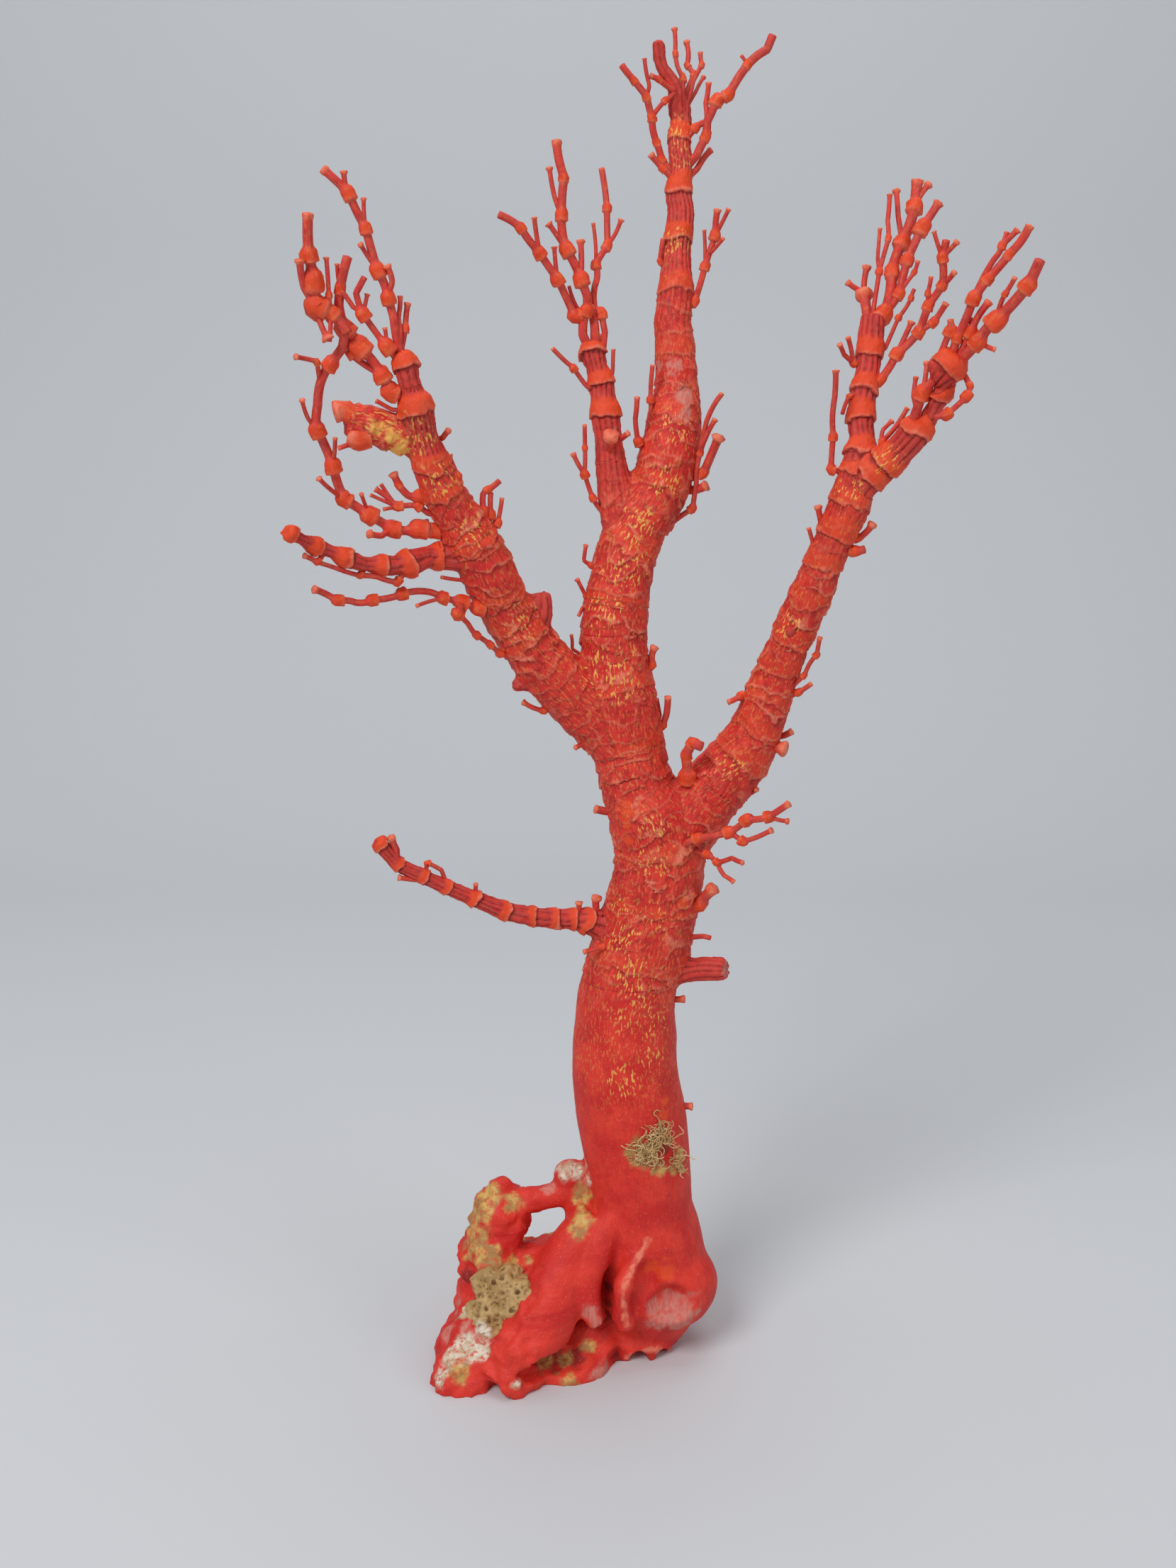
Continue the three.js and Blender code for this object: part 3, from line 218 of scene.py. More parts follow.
OUTER_TWIGS = [
    (3, 36, 43, (80, 298, 0), (81.6, 303.4, 0), (83.6, 309.6, 4.6), (88, 316, 0)),
    (4.6, 36, 44, (85, 299, 0), (87, 304, 0), (89.2, 309, 5.6), (91.6, 316, 0)),
    (2, 36, 40, (83, 299, 0), (84.6, 304, 0), (87.4, 309, 0)),
    (7.4, 42, 46, (88, 313, 0), (90.8, 316.8, 9.6), (93, 321, 0)),
    (4, 43, 44, (85.4, 317.6, 0), (96.4, 316, 0)),
    (2, 44, 46, (88, 318, 0), (89.3, 322.8, 0), (91.1, 327.3, 3.8), (90.8, 330.9, 1.8)),
    (2.6, 45, 56, (91.5, 319, 0), (93.2, 325.5, 3), (97.4, 336.6, 4.2), (101.3, 342, 3.2),
     (107.3, 348.9, 2.6), (113, 357.3, 2.4)),
    (1.8, 49, 54, (97.4, 336.6, 0), (102.8, 347.4, 0), (105, 351.4, 2.4), (109.7, 356.1, 2.2)),
    (2.2, 45, 50, (93.5, 319, 0), (97.1, 327, 3.8), (102.2, 335.7, 2.4)),
    (3.4, 45, 61, (93.5, 318, 0), (99.2, 324, 4.8), (104.6, 330.3, 6), (113.3, 340.2, 4.6),
     (116.3, 347.1, 1.8)),
    (1.5, 52, 58, (104.6, 330.3, 0), (106.7, 337.8, 1.8), (109.4, 342.6, 1.6)),
    (1.5, 47, 50, (99.2, 324, 0), (104.6, 321.8, 1.4)),
    (1.8, 43, 50, (94.4, 316.4, 0), (97.7, 311.4, 2), (96.5, 308.1, 3.2), (90.8, 303, 3.4),
     (86.4, 302, 0)),
    (1.6, 38, 36, (83.6, 309.6, 0), (84.5, 318.3, 2)),
    (1.5, 37, 34, (81.8, 305, 0), (80.9, 308.4, 0), (81.4, 314.1, 1.6)),
    (1.6, 31, 30, (74.6, 290.6, 0), (71.9, 295.2, 2.6), (75.8, 299.4, 0), (79.4, 305.4, 1.8)),
    (2.8, 34, 16, (78, 294, 0), (81, 299, 3.8), (82, 304, 3)),
    (1.4, 52, 52, (105, 351.4, 0), (106.3, 355.2, 1.6)),
    (1.4, 47, 47, (97.1, 327, 0), (96.7, 331, 1.4)),
    (1.4, 30, 29, (71.9, 295.2, 0), (72.2, 298.8, 0), (74.9, 301.5, 1.8)),
]
LEFT_TWIGS = [
    (5.4, 41, 43, (-67.6, 306, 0), (-70, 316.6, 7), (-71.8, 321.5, 5)),
    (2.6, 43, 48, (-71.6, 320, 0), (-73.4, 331.2, 0), (-74.8, 336.7, 4.4), (-77.8, 344.5, 4.4),
     (-80.9, 356.2, 3.8), (-85.6, 366, 4.2), (-92.6, 372.4, 2.8)),
    (1.6, 47, 48, (-85.6, 366, 0), (-86.7, 372.2, 2)),
    (1.8, 44, 46, (-74.8, 336.7, 0), (-73.4, 341, 0), (-75, 345.9, 2.2)),
    (1.5, 43, 42, (-71.8, 322, 0), (-71.9, 331, 0), (-71.2, 337.4, 1.6)),
    (1.8, 43, 40, (-71.4, 321, 0), (-69.9, 328, 2.4), (-69, 335.2, 2)),
    (2, 43, 50, (-70.4, 315, 0), (-75.7, 322.9, 4.8), (-82.4, 332.1, 4.4), (-84.2, 338, 0),
     (-81.6, 342.4, 1.6)),
    (3, 41, 50, (-68, 307, 0), (-74.8, 309.6, 5.6), (-77.3, 314.7, 5.2), (-84, 322.9, 6.4),
     (-88.1, 328, 5.2), (-89.4, 334.3, 0), (-88.8, 339.3, 3.2), (-86.2, 348.6, 2)),
    (1.6, 49, 50, (-88.8, 339, 0), (-85.2, 334, 0), (-82.4, 332.1, 0)),
    (2, 44, 46, (-77.3, 314.7, 0), (-86.5, 320.7, 3), (-84, 322.9, 0)),
    (3.2, 49, 55, (-87, 326.5, 0), (-92.2, 332.6, 4.4), (-96, 334.3, 6.6), (-96.6, 341.3, 6),
     (-97.6, 348.6, 4.8), (-97.5, 360.3, 3)),
    (2.2, 53, 56, (-96, 334.3, 0), (-99.4, 339.4, 0), (-100.4, 347.8, 3)),
    (1.8, 52, 52, (-96, 334.3, 0), (-92.5, 324.2, 3.6)),
    (3, 27, 48, (-55, 268.6, 0), (-63.2, 269, 5), (-67.4, 269.4, 6), (-75.1, 269.4, 5.2),
     (-82.2, 273.6, 5.6), (-89.7, 278.5, 4.8), (-92.7, 288.3, 4.8), (-97.1, 298.9, 4.8), (-96.6, 306, 0),
     (-95.6, 312.2, 0), (-92.2, 317.9, 4.4), (-88.7, 322.4, 0), (-87.8, 327, 0)),
    (1.5, 49, 52, (-95.6, 312.2, 0), (-96.3, 318.5, 2), (-103, 319.9, 2)),
    (1.5, 40, 44, (-89.7, 278.5, 0), (-97.2, 284.7, 1.8)),
    (2, 34, 38, (-75.1, 269.4, 0), (-78.6, 267.4, 0), (-82.5, 268, 2.6)),
    (9, 35, 42, (-66, 295, 0), (-74, 297.6, 10), (-83, 300.6, 10), (-88, 301.6, 8)),
    (3.8, 42, 44, (-83, 301, 0), (-88.4, 304.2, 5.4), (-92, 303.6, 6)),
    (3.6, 41, 43, (-79, 297.4, 0), (-84.6, 296.2, 6.8), (-88.4, 297.4, 5)),
    (1.6, 40, 44, (-82, 296.5, 0), (-87.1, 294.6, 2), (-91, 293.3, 1.4)),
    (1.8, 35, 37, (-61, 296, 0), (-59.6, 296.3, 0), (-57.5, 298.8, 1.8)),
    (1.8, 30, 36, (-57, 273, 0), (-64.3, 274, 0), (-67.4, 276.4, 3.2), (-73.7, 276.1, 3.2),
     (-80.4, 281.6, 2)),
    (2.4, 31, 36, (-61, 279, 0), (-66.7, 279.2, 4.4), (-70.2, 279.4, 0), (-73, 282.6, 2.4),
     (-74.8, 286.4, 2.8)),
    (2.2, 22, 48, (-43, 245.5, 0), (-49.9, 245.6, 4.6), (-54.8, 247.4, 4.6), (-60.4, 248.6, 4),
     (-67.4, 250.7, 0), (-73, 249.7, 3.8), (-82.1, 248, 3.6), (-87, 247.2, 0), (-92.6, 247.8, 3.4),
     (-100, 251.4, 2.6)),
    (1.8, 14, 30, (-36, 234, 0), (-40.6, 230.6, 0), (-43.3, 231.6, 2.4), (-46.1, 234.4, 2.4),
     (-50.3, 237.2, 2.6), (-52.7, 240.7, 0), (-55.9, 243.9, 4), (-54.8, 247, 0)),
    (2, 26, 24, (-50, 269, 0), (-47.5, 275, 3), (-47.6, 280.3, 0), (-46, 281.2, 2.4),
     (-42.6, 283.8, 1.6)),
    (1.8, 24, 24, (-47, 268, 0), (-45.4, 273.6, 3), (-45.2, 281, 0)),
    (1.5, 24, 22, (-46, 266, 0), (-43.3, 271.2, 3), (-41.9, 278.7, 1.4)),
    (6, 14, 16, (-33, 236, 0), (-29.8, 243, 6.4), (-30.3, 250.4, 5)),
    (1.8, 34, 33, (-58, 282, 0), (-55.2, 285, 3), (-58, 291.6, 2.6)),
    (3, 24, 0, (-45, 256, 0), (-46, 262, 4.4), (-49, 268, 3.6)),
    (3, 34, 16, (-62, 287, 0), (-61, 292, 4), (-64, 297, 3.2)),
    (1.3, 46, 47, (-80.9, 356.2, 0), (-81.2, 364.6, 1.6)),
    (1.4, 45, 48, (-77.8, 344.5, 0), (-82.6, 351.8, 1.8)),
    (1.3, 46, 45, (-75.7, 322.9, 0), (-76, 328.5, 1.6)),
    (1.3, 48, 47, (-82.4, 332.1, 0), (-80.8, 338, 1.6)),
    (1.2, 50, 50, (-88.8, 339.3, 0), (-89.5, 346.4, 1.4)),
    (1.4, 51, 50, (-92.5, 324.2, 0), (-92.2, 337.5, 2), (-92.6, 348.2, 1.6)),
    (1.4, 44, 46, (-97.1, 298.9, 0), (-99.6, 302, 0), (-101.2, 307.6, 1.8)),
    (1.4, 42, 42, (-92.7, 288.3, 0), (-91.7, 296.6, 1.4)),
    (1.3, 38, 38, (-82.2, 273.6, 0), (-84.4, 280, 1.4)),
    (1.4, 40, 42, (-72, 302.6, 0), (-77, 304, 0), (-83.7, 305.6, 1.2)),
    (1.4, 41, 42, (-70, 304, 0), (-74.5, 304.6, 0), (-79.2, 307.3, 1.4)),
    (1.3, 35, 34, (-73.7, 276.1, 0), (-78.3, 282.8, 1.3)),
    (1.2, 35, 37, (-73.7, 276.1, 0), (-81.8, 279.7, 1.2)),
    (1.2, 35, 37, (-73.7, 276.1, 0), (-77.9, 275.3, 1.2)),
    (1.3, 34, 37, (-60.4, 248.6, 0), (-68.4, 246.2, 1.4)),
    (1.3, 24, 30, (-48, 252.6, 0), (-53, 253.9, 1.8), (-60.8, 255, 1.2)),
]
SIDE_TWIGS = [
    (1.6, 50, 54, (-96.4, 262, 0), (-98.2, 259.4, 2.2), (-102.4, 261.5, 1.8)),
    (1.5, 42, 47, (-84, 257.5, 0), (-85.3, 255.4, 2.4), (-93.3, 257.9, 0), (-98.2, 259.4, 0)),
    (1.8, 37, 42, (-72, 256.4, 0), (-74, 253.4, 2.8), (-80, 255, 0), (-85.3, 255.4, 0)),
]
CENTRE_TWIGS = [
    (4.4, -32, -26, (10.6, 384, 0), (9.3, 388.2, 4.8), (9, 394.1, 5), (5, 400.1, 4.2),
     (3.8, 407.3, 2.4)),
    (1.6, -33, -40, (10.5, 390, 0), (11.3, 396.7, 2.4), (9.6, 400.1, 0), (8.9, 403.5, 2),
     (8.6, 410.4, 2.2)),
    (1.8, -34, -44, (11, 388, 0), (14.4, 398, 2.4), (12.3, 400.4, 2.2), (12, 406.8, 2)),
    (1.6, -34, -40, (11.4, 386, 0), (14.1, 396.1, 0), (16.6, 400.6, 2), (16.1, 403.9, 1.6)),
    (3, -28, -26, (11, 371, 0), (15.5, 376.2, 0), (18.1, 381.3, 3.4), (18.3, 385.3, 0), (20.9, 391, 4.2),
     (24.3, 392.4, 4), (29.7, 400.6, 3), (35.1, 404.6, 2.4), (36.8, 408.8, 2.2)),
    (1.8, -27, -30, (18.2, 384, 0), (17.8, 390.4, 0), (18.6, 396, 2)),
    (2.2, -30, -27, (11, 379, 0), (14.9, 383.6, 3), (18.3, 385.3, 0)),
    (2.4, -28, -22, (10, 369, 0), (5.3, 375.1, 2.8), (3.8, 379.6, 2.6), (2.4, 386.5, 3),
     (0.8, 392.1, 2.6), (-2.9, 396.4, 2.4), (-6.4, 400.5, 1.8)),
    (1.6, -25, -28, (2.4, 386.5, 0), (6.2, 391, 2.2), (9, 393, 0)),
    (2, -28, -24, (9, 393.5, 0), (4.2, 396.7, 2), (1.6, 397.7, 1.8)),
    (2.2, -27, -25, (9, 369, 0), (5.6, 372.6, 2.6), (1.8, 376.7, 2.4)),
    (2.2, -27, -32, (12, 368, 0), (15.5, 372.3, 0), (19.5, 377.6, 2.2)),
    (2.2, -18, -16, (11, 331, 0), (15.4, 335.6, 3.4), (18.3, 345.6, 3.2), (21.1, 354.1, 3.6),
     (21.7, 361.4, 2.4)),
    (1.5, -16, -14, (21.1, 354.1, 0), (25.1, 361.7, 1.8)),
    (1.6, -21, -20, (8, 343, 0), (5, 346.8, 2), (5.9, 353.5, 1.4)),
    (1.8, -6, 2, (5, 266, 0), (8.6, 270.7, 3.4), (15.6, 275.6, 3), (16.6, 283, 0), (17.7, 292.1, 2),
     (19.4, 301.2, 0), (24, 309.4, 1.6)),
    (1.8, -1, 2, (17.7, 292.1, 0), (19.1, 296.3, 0), (22.2, 302.1, 1.8)),
    (3, -6, 2, (12, 284, 0), (18.7, 286, 3.6), (23.4, 297.2, 4.2)),
    (3, -6, -2, (12, 281, 0), (20, 282.6, 3.4)),
    (1.8, -5, 0, (2, 291, 0), (-1, 295.4, 3.2), (-1.9, 301.9, 0), (-1.4, 308.4, 1.8)),
    (1.6, -7, -4, (5, 299, 0), (2.2, 301, 0), (2.6, 307.5, 2.6), (3.2, 317.8, 1.6)),
    (1.6, 0, 6, (-9, 272, 0), (-14.6, 278.8, 2.6), (-17, 285.8, 2.8), (-20.5, 291.9, 2)),
    (1.5, 2, 5, (-17, 285.8, 0), (-16.9, 293.5, 2), (-17, 300.3, 1.4)),
    (3, -6, -38, (-4, 255, 0), (-3, 260, 4.6), (-2, 268, 4.2), (0, 274, 4), (1, 280, 3.2)),
    (3, -12, -48, (9, 300, 0), (9, 306, 4.4), (11, 314, 4), (10, 322, 3.6), (11, 330, 3)),
    (2, -32, -64, (10.6, 376, 0), (11.4, 384, 3), (9.6, 392, 2.8), (11, 398, 2.2)),
    (1.4, -34, -46, (11.4, 386, 0), (14.9, 393.3, 0), (17.2, 397.4, 1.8)),
    (1.2, -26, -26, (29.7, 400.6, 0), (27.7, 403.1, 1.2)),
    (1.4, -24, -22, (0.8, 392.1, 0), (1.6, 395, 0), (0.1, 402.5, 1.4)),
    (1.3, -17, -19, (18.3, 345.6, 0), (17.9, 355.8, 1.4)),
    (1.3, -16, -12, (19.6, 349, 0), (23.7, 353.5, 1.4)),
    (1.4, 0, 4, (-10, 257, 0), (-14.9, 258.5, 2.4), (-17.3, 260, 0), (-16.6, 264.8, 1.6)),
    (1.4, 2, 6, (-12, 247.6, 0), (-16.6, 249, 2), (-19.4, 254.5, 1.6)),
    (1.3, 3, 6, (-14, 246.6, 0), (-17.6, 246, 0), (-18.9, 243.1, 1.2)),
]
CENTRE_LEFT_TWIGS = [
    (3, -5, -6, (-15.2, 320.4, 0), (-17.6, 326, 0), (-16.4, 333, 4.6), (-16.3, 337.3, 0),
     (-18.1, 342, 5), (-22.3, 350.3, 4.8), (-23.7, 359.7, 4), (-22.9, 369.9, 3.2), (-25.2, 380.2, 3)),
    (3.4, -6, -7, (-13.6, 320.4, 0), (-13.8, 327, 0), (-15, 333.4, 0)),
    (2.2, -7, -9, (-11.6, 320.6, 0), (-11, 327, 0), (-12, 332.4, 3.6), (-15, 333.4, 0)),
    (3.6, -6, -6, (-19.6, 331, 4.6), (-14, 333.6, 0)),
    (1.6, -8, -6, (-23.7, 359.7, 0), (-25.7, 364.7, 0), (-27.2, 372.9, 2.2)),
    (1.8, -7, -4, (-22.3, 350.3, 0), (-27.7, 357.7, 2.4)),
    (2, -6, -8, (-18.1, 342, 0), (-18.2, 352.9, 2.8)),
    (2.6, -6, 6, (-17.4, 332, 0), (-20, 331.4, 4.6), (-25, 342, 4.2), (-30.2, 349.3, 4),
     (-35.7, 356.3, 3.2), (-42, 359.9, 1.8)),
    (1.6, 1, 4, (-30.2, 349.3, 0), (-31.7, 359.5, 2)),
    (1.5, -1, -4, (-25, 342, 0), (-25.9, 351.2, 2)),
    (2.2, -8, -22, (-14, 333.4, 0), (-14, 340, 0), (-13.7, 346, 3.2), (-10.3, 351.3, 3.2),
     (-10.5, 361.7, 3), (-12.1, 372.7, 2.2)),
    (1.5, -16, -14, (-10.3, 351.3, 0), (-6.2, 358.9, 2)),
    (1.6, -4, 2, (-12, 310.6, 0), (-16.3, 311.3, 0), (-20.3, 316.7, 2.6), (-26.7, 322.5, 1.4)),
    (3.6, 0, 6, (-9.6, 292.6, 0), (-9, 297.4, 5)),
    (2, 0, 4, (-9, 293.4, 0), (-3.6, 298, 2)),
    (2.8, -4, -24, (-11, 306, 0), (-11.6, 312, 4), (-13, 320, 3.6), (-12.6, 326, 3)),
    (1.4, -7, -5, (-18.4, 332.6, 0), (-19.7, 334.6, 0), (-21.7, 340.5, 1.2)),
    (1.3, -14, -14, (-13.7, 346, 0), (-14.5, 357.5, 1.2)),
    (1.4, -4, -4, (-10, 311.6, 0), (-8.7, 315.3, 0), (-8.5, 322.2, 1.4)),
]
LOW_TWIGS = [
    (2.4, 20, 23, (-76.6, 164.4, 0), (-76.5, 169.4, 0), (-78, 173.8, 2.6)),
    (1.8, 18, 21, (-68, 160, 0), (-72, 159.7, 0), (-76.2, 160.3, 2)),
    (1.6, 16, 18, (-60.6, 157.8, 0), (-62.4, 162.8, 0), (-66.9, 165.2, 2.4), (-67.8, 161, 0)),
    (1.6, 13, 14, (-52.4, 153.4, 0), (-51.6, 158.4, 1.6)),
    (2, 5, 6, (-19, 147, 0), (-18.9, 152.5, 2.6)),
    (2.6, 4, 4, (-15.4, 146, 0), (-13.4, 150, 0), (-13.2, 154.2, 3.4)),
]

# %% [markdown]
# Places were read in the upright plane through the foot, so each is slid along its line of sight by its
# depth. The curve through the stations is a centripetal Catmull-Rom curve: it passes through every
# station and does not overshoot where stations are close, as a plain cubic would.

# %% Places and curves
BACKWARDS = np.array([0.0, 1.0, 0.0])


def at(x, z, depth):
    plane = np.array([x, 0.0, z])
    return plane + (EYE - plane) * depth / -EYE[1]


def unit(vectors):
    return vectors / np.linalg.norm(vectors, axis=-1, keepdims=True)


def smooth_line(points, step):
    """Places on a smooth curve through the points, and the station number of each place."""
    ends = [2 * points[0] - points[1], *points, 2 * points[-1] - points[-2]]
    places, numbers = [], []
    for i in range(len(points) - 1):
        p0, p1, p2, p3 = ends[i:i + 4]
        k0, k1, k2 = (math.sqrt(np.linalg.norm(b - a)) for a, b in ((p0, p1), (p1, p2), (p2, p3)))
        start = ((p1 - p0) / k0 - (p2 - p0) / (k0 + k1) + (p2 - p1) / k1) * k1
        stop = ((p2 - p1) / k1 - (p3 - p1) / (k1 + k2) + (p3 - p2) / k2) * k1
        count = max(2, round(np.linalg.norm(p2 - p1) / step))
        t = np.arange(count)[:, None] / count
        hermite = (2 * t**3 - 3 * t**2 + 1) * p1 + (t**3 - 2 * t**2 + t) * start
        hermite += (3 * t**2 - 2 * t**3) * p2 + (t**3 - t**2) * stop
        places.append(hermite)
        numbers.append(i + t[:, 0])
    places.append(points[-1][None])
    numbers.append([len(points) - 1])
    return np.concatenate(places), np.concatenate(numbers)


def sections(places):
    """Along, across and side directions of the cross-section at each place."""
    along = unit(np.gradient(places, axis=0))
    across = unit(BACKWARDS - (along @ BACKWARDS)[:, None] * along)
    return along, across, np.cross(across, along)


print("a place 10 mm in front of the plane:", at(0, 100, 10).round(2))

# %% [markdown]
# A limb keeps its curve, its girth, the length run so far, its growth rings, and which piece of the
# branch each stretch belongs to, because the branch is parted at its main forks.

# %% Limbs
LIMB_STEP = 1.5
LONGEST_SKIRT = 6.5
SIDE_SKIRT = 4.4
NARROW_SKIRT = 2.8
LIMB_SCALES = (4.4, 6.4)
STUB_SCALES = (3.9, 4.5)


class Limb:
    def __init__(self, stations, parts, scale_range=LIMB_SCALES, longest_skirt=LONGEST_SKIRT):
        self.places, number = smooth_line([at(*s[:3]) for s in stations], LIMB_STEP)
        self.along, self.across, self.side = sections(self.places)
        self.radius = np.interp(number, range(len(stations)), [s[3] / 2 for s in stations])
        self.scaly = np.interp(self.radius, scale_range, (0, 1))
        steps = np.linalg.norm(np.diff(self.places, axis=0), axis=1)
        self.run = np.concatenate([[0], np.cumsum(steps)])
        firsts = [first for first, node in parts]
        self.node = [parts[np.searchsorted(firsts, n, "right") - 1][1] for n in number]
        lips = [(np.interp(i, number, self.run), s[4]) for i, s in enumerate(stations) if len(s) > 4]
        stops = [place for place, lip in lips[1:]] + [self.run[-1] + longest_skirt]
        skirts = [min(stop - place, longest_skirt) for (place, lip), stop in zip(lips, stops)]
        self.rings = [(place, lip, skirt) for (place, lip), skirt in zip(lips, skirts)]


limbs = {
    "trunk": Limb(TRUNK, [(0, "trunk"), (17, "upper_stem"), (22, "centre_limb")]),
    "right": Limb(RIGHT, [(0, "trunk"), (2, "right_limb")]),
    "inner": Limb(INNER, [(0, "right_limb"), (1, "right_inner_limb")]),
    "outer": Limb(OUTER, [(0, "right_limb"), (2, "right_outer_limb")]),
    "left": Limb(LEFT, [(0, "upper_stem"), (3, "left_limb")]),
    "side": Limb(SIDE, [(0, "left_limb"), (1, "left_side_branch")], longest_skirt=SIDE_SKIRT),
    "centre": Limb(CENTRE, [(0, "upper_stem"), (1, "centre_limb")]),
    "centre left": Limb(CENTRE_LEFT, [(0, "centre_limb"), (2, "centre_left_limb")]),
    "low": Limb(LOW, [(0, "trunk"), (1, "low_branch")], longest_skirt=NARROW_SKIRT),
}
for name, one in limbs.items():
    print(name, "limb:", round(one.run[-1]), "mm long,", len(one.rings), "lipped rings")

# %% [markdown]
# A side twig that starts or ends on a knuckle of an earlier twig takes its depth from it, so that the
# two meet. The stoutest twigs are short limbs: they join the limbs and get the same crusty skin, and a
# knuckle on them becomes a growth ring.

# %% Depths of the twigs
STOUT_ROD = 4.2
KNUCKLE_SHARE = 1.15
KNUCKLE_LIP = 0.7
twig_lists = {
    "trunk": TRUNK_TWIGS, "upper_stem": STEM_TWIGS, "right_limb": RIGHT_TWIGS,
    "right_inner_limb": INNER_TWIGS, "right_outer_limb": OUTER_TWIGS, "left_limb": LEFT_TWIGS,
    "left_side_branch": SIDE_TWIGS, "centre_limb": CENTRE_TWIGS,
    "centre_left_limb": CENTRE_LEFT_TWIGS, "low_branch": LOW_TWIGS,
}


def depths_of(root_depth, tip_depth, path, known):
    first = known.get(path[0][:2], root_depth)
    last = known.get(path[-1][:2], tip_depth)
    steps = [math.hypot(b[0] - a[0], b[1] - a[1]) for a, b in zip(path, path[1:])]
    share = np.concatenate([[0], np.cumsum(steps)]) / sum(steps)
    depths = first + (last - first) * share
    known.update({p[:2]: d for p, d in zip(path, depths)})
    return depths


def stub_station(rod, place, depth):
    """A station of a short limb, with a lip where the twig has a knuckle."""
    x, z, knuckle = place
    lip = [KNUCKLE_LIP] if knuckle > KNUCKLE_SHARE * rod else []
    return (x, z, depth, max(rod, knuckle), *lip)


slender_twigs = {node: [] for node in twig_lists}
for node, twigs in twig_lists.items():
    known = {}
    for number, (rod, root_depth, tip_depth, *path) in enumerate(twigs):
        depths = depths_of(root_depth, tip_depth, path, known)
        if rod < STOUT_ROD:
            slender_twigs[node].append((rod, [(*p[:2], d, p[2]) for p, d in zip(path, depths)]))
            continue
        stations = [stub_station(rod, p, d) for p, d in zip(path, depths)]
        scale_range = STUB_SCALES if node == "left_limb" else LIMB_SCALES
        limbs[f"{node} stub {number}"] = Limb(stations, [(0, node)], scale_range)
print(sum(map(len, slender_twigs.values())), "slender twigs,", len(limbs), "limbs and stubs")

# %% [markdown]
# The foot is a holdfast: bent roots and lumps that spread over the rock, with a hole under an arch on
# the left and a broken, hollow face on the right. Lumps are squashed balls. They could be sculpted by
# hand, but a list of lumps can be moved and changed one at a time.

# %% Holdfast lumps and hollows
LUMPS = [
    (9, 20.6, 4, 18.4, 18, 15.4), (0, -2, 8, 12.6, 8.4, 6.4), (-24, -12, 18, 15, 11, 9),
    (-16, 2, 10, 9, 8, 7), (-10, -5, 14, 5, 7, 5), (-28, 24, 4, 17, 14, 11),
    (-45, 44, 0, 9.6, 10, 11.6), (-45, 51.6, 0, 5.4, 5.4, 6.4), (-48, 28, 2, 11, 13, 14),
    (-48.5, 10, 6, 12.4, 16, 16), (-53, -6, 14, 14, 17, 16), (-58, -17, 25, 11, 11, 12),
    (-21.5, 59.2, 0, 6, 5.6, 5), (-14, 22, -20, 28, 24, 15), (-39, 19, -18, 18, 20, 14),
]
ROOTS = [
    [(4, 36, 12, 7), (-1, 25, 19, 7), (-5, 16, 22, 7), (-3, 3, 21.5, 6.6)],
    [(-8, 44, 12, 8), (-13, 30, 17, 9), (-16.5, 18, 19, 10), (-12, 5, 21, 8)],
    [(-13, 44, 8, 14), (-21, 32, 12, 17), (-28, 14, 18, 20), (-36, -3, 24, 22), (-46, -17, 28, 20)],
    [(-44, 48, 0, 9), (-35.5, 49.6, 1, 7.4), (-27.5, 51.6, 1, 8.4), (-20, 54, 0, 11), (-11, 50, 0, 11)],
    [(-20.4, 54, 1, 8), (-20, 44, 3, 7.4), (-22, 32, 5, 8)],
    [(2, 36, -14, 20), (0, 31, -34, 18), (-5, 34, -52, 14), (-8, 38, -64, 10)],
    [(-32, 28, -16, 16), (-41, 26, -32, 15), (-48, 28, -46, 11)],
]
HOLLOWS = [
    (12.5, 8.6, 26, 9.6, 11, 8.4), (5.4, 18, 25.4, 5.6, 9, 10), (-56.5, 22.6, 15, 4, 6, 3),
    (-25, -12, 31, 15, 12, 5), (-6, -10.6, 22, 3.6, 9, 4), (-9.6, 13, 24.6, 2.2, 10, 10),
    (1.4, -10.6, 17, 3.4, 9, 4),
    (9.4, -9.6, 16, 2.6, 9, 3.2), (14.6, -8, 14, 2, 9, 3.6), (-26, 26, -46, 9, 12, 9),
]
BALL_SIDES = 20
BALL_ROWS = 12
TUBE_SIDES = 24


def tube_faces(rings, sides):
    """Quads between rings of points, and the fans that close both ends; the two tips come last."""
    ring = np.arange(rings - 1)[:, None] * sides
    turn = np.arange(sides)
    after = (turn + 1) % sides
    quads = np.stack([ring + turn, ring + after, ring + sides + after, ring + sides + turn], axis=-1)
    first, last = rings * sides, rings * sides + 1
    end = (rings - 1) * sides
    start_fan = np.stack([np.full(sides, first), after, turn], axis=-1)
    end_fan = np.stack([np.full(sides, last), end + turn, end + after], axis=-1)
    return [quads.reshape(-1, 4), np.concatenate([start_fan, end_fan])]


def tube(places, radius, sides):
    along, across, side = sections(places)
    angle = np.linspace(0, 2 * math.pi, sides, endpoint=False)
    round_about = across[:, None] * np.cos(angle)[:, None] + side[:, None] * np.sin(angle)[:, None]
    skin = places[:, None] + round_about * radius[:, None, None]
    return np.concatenate([skin.reshape(-1, 3), places[:1], places[-1:]]), tube_faces(len(places), sides)


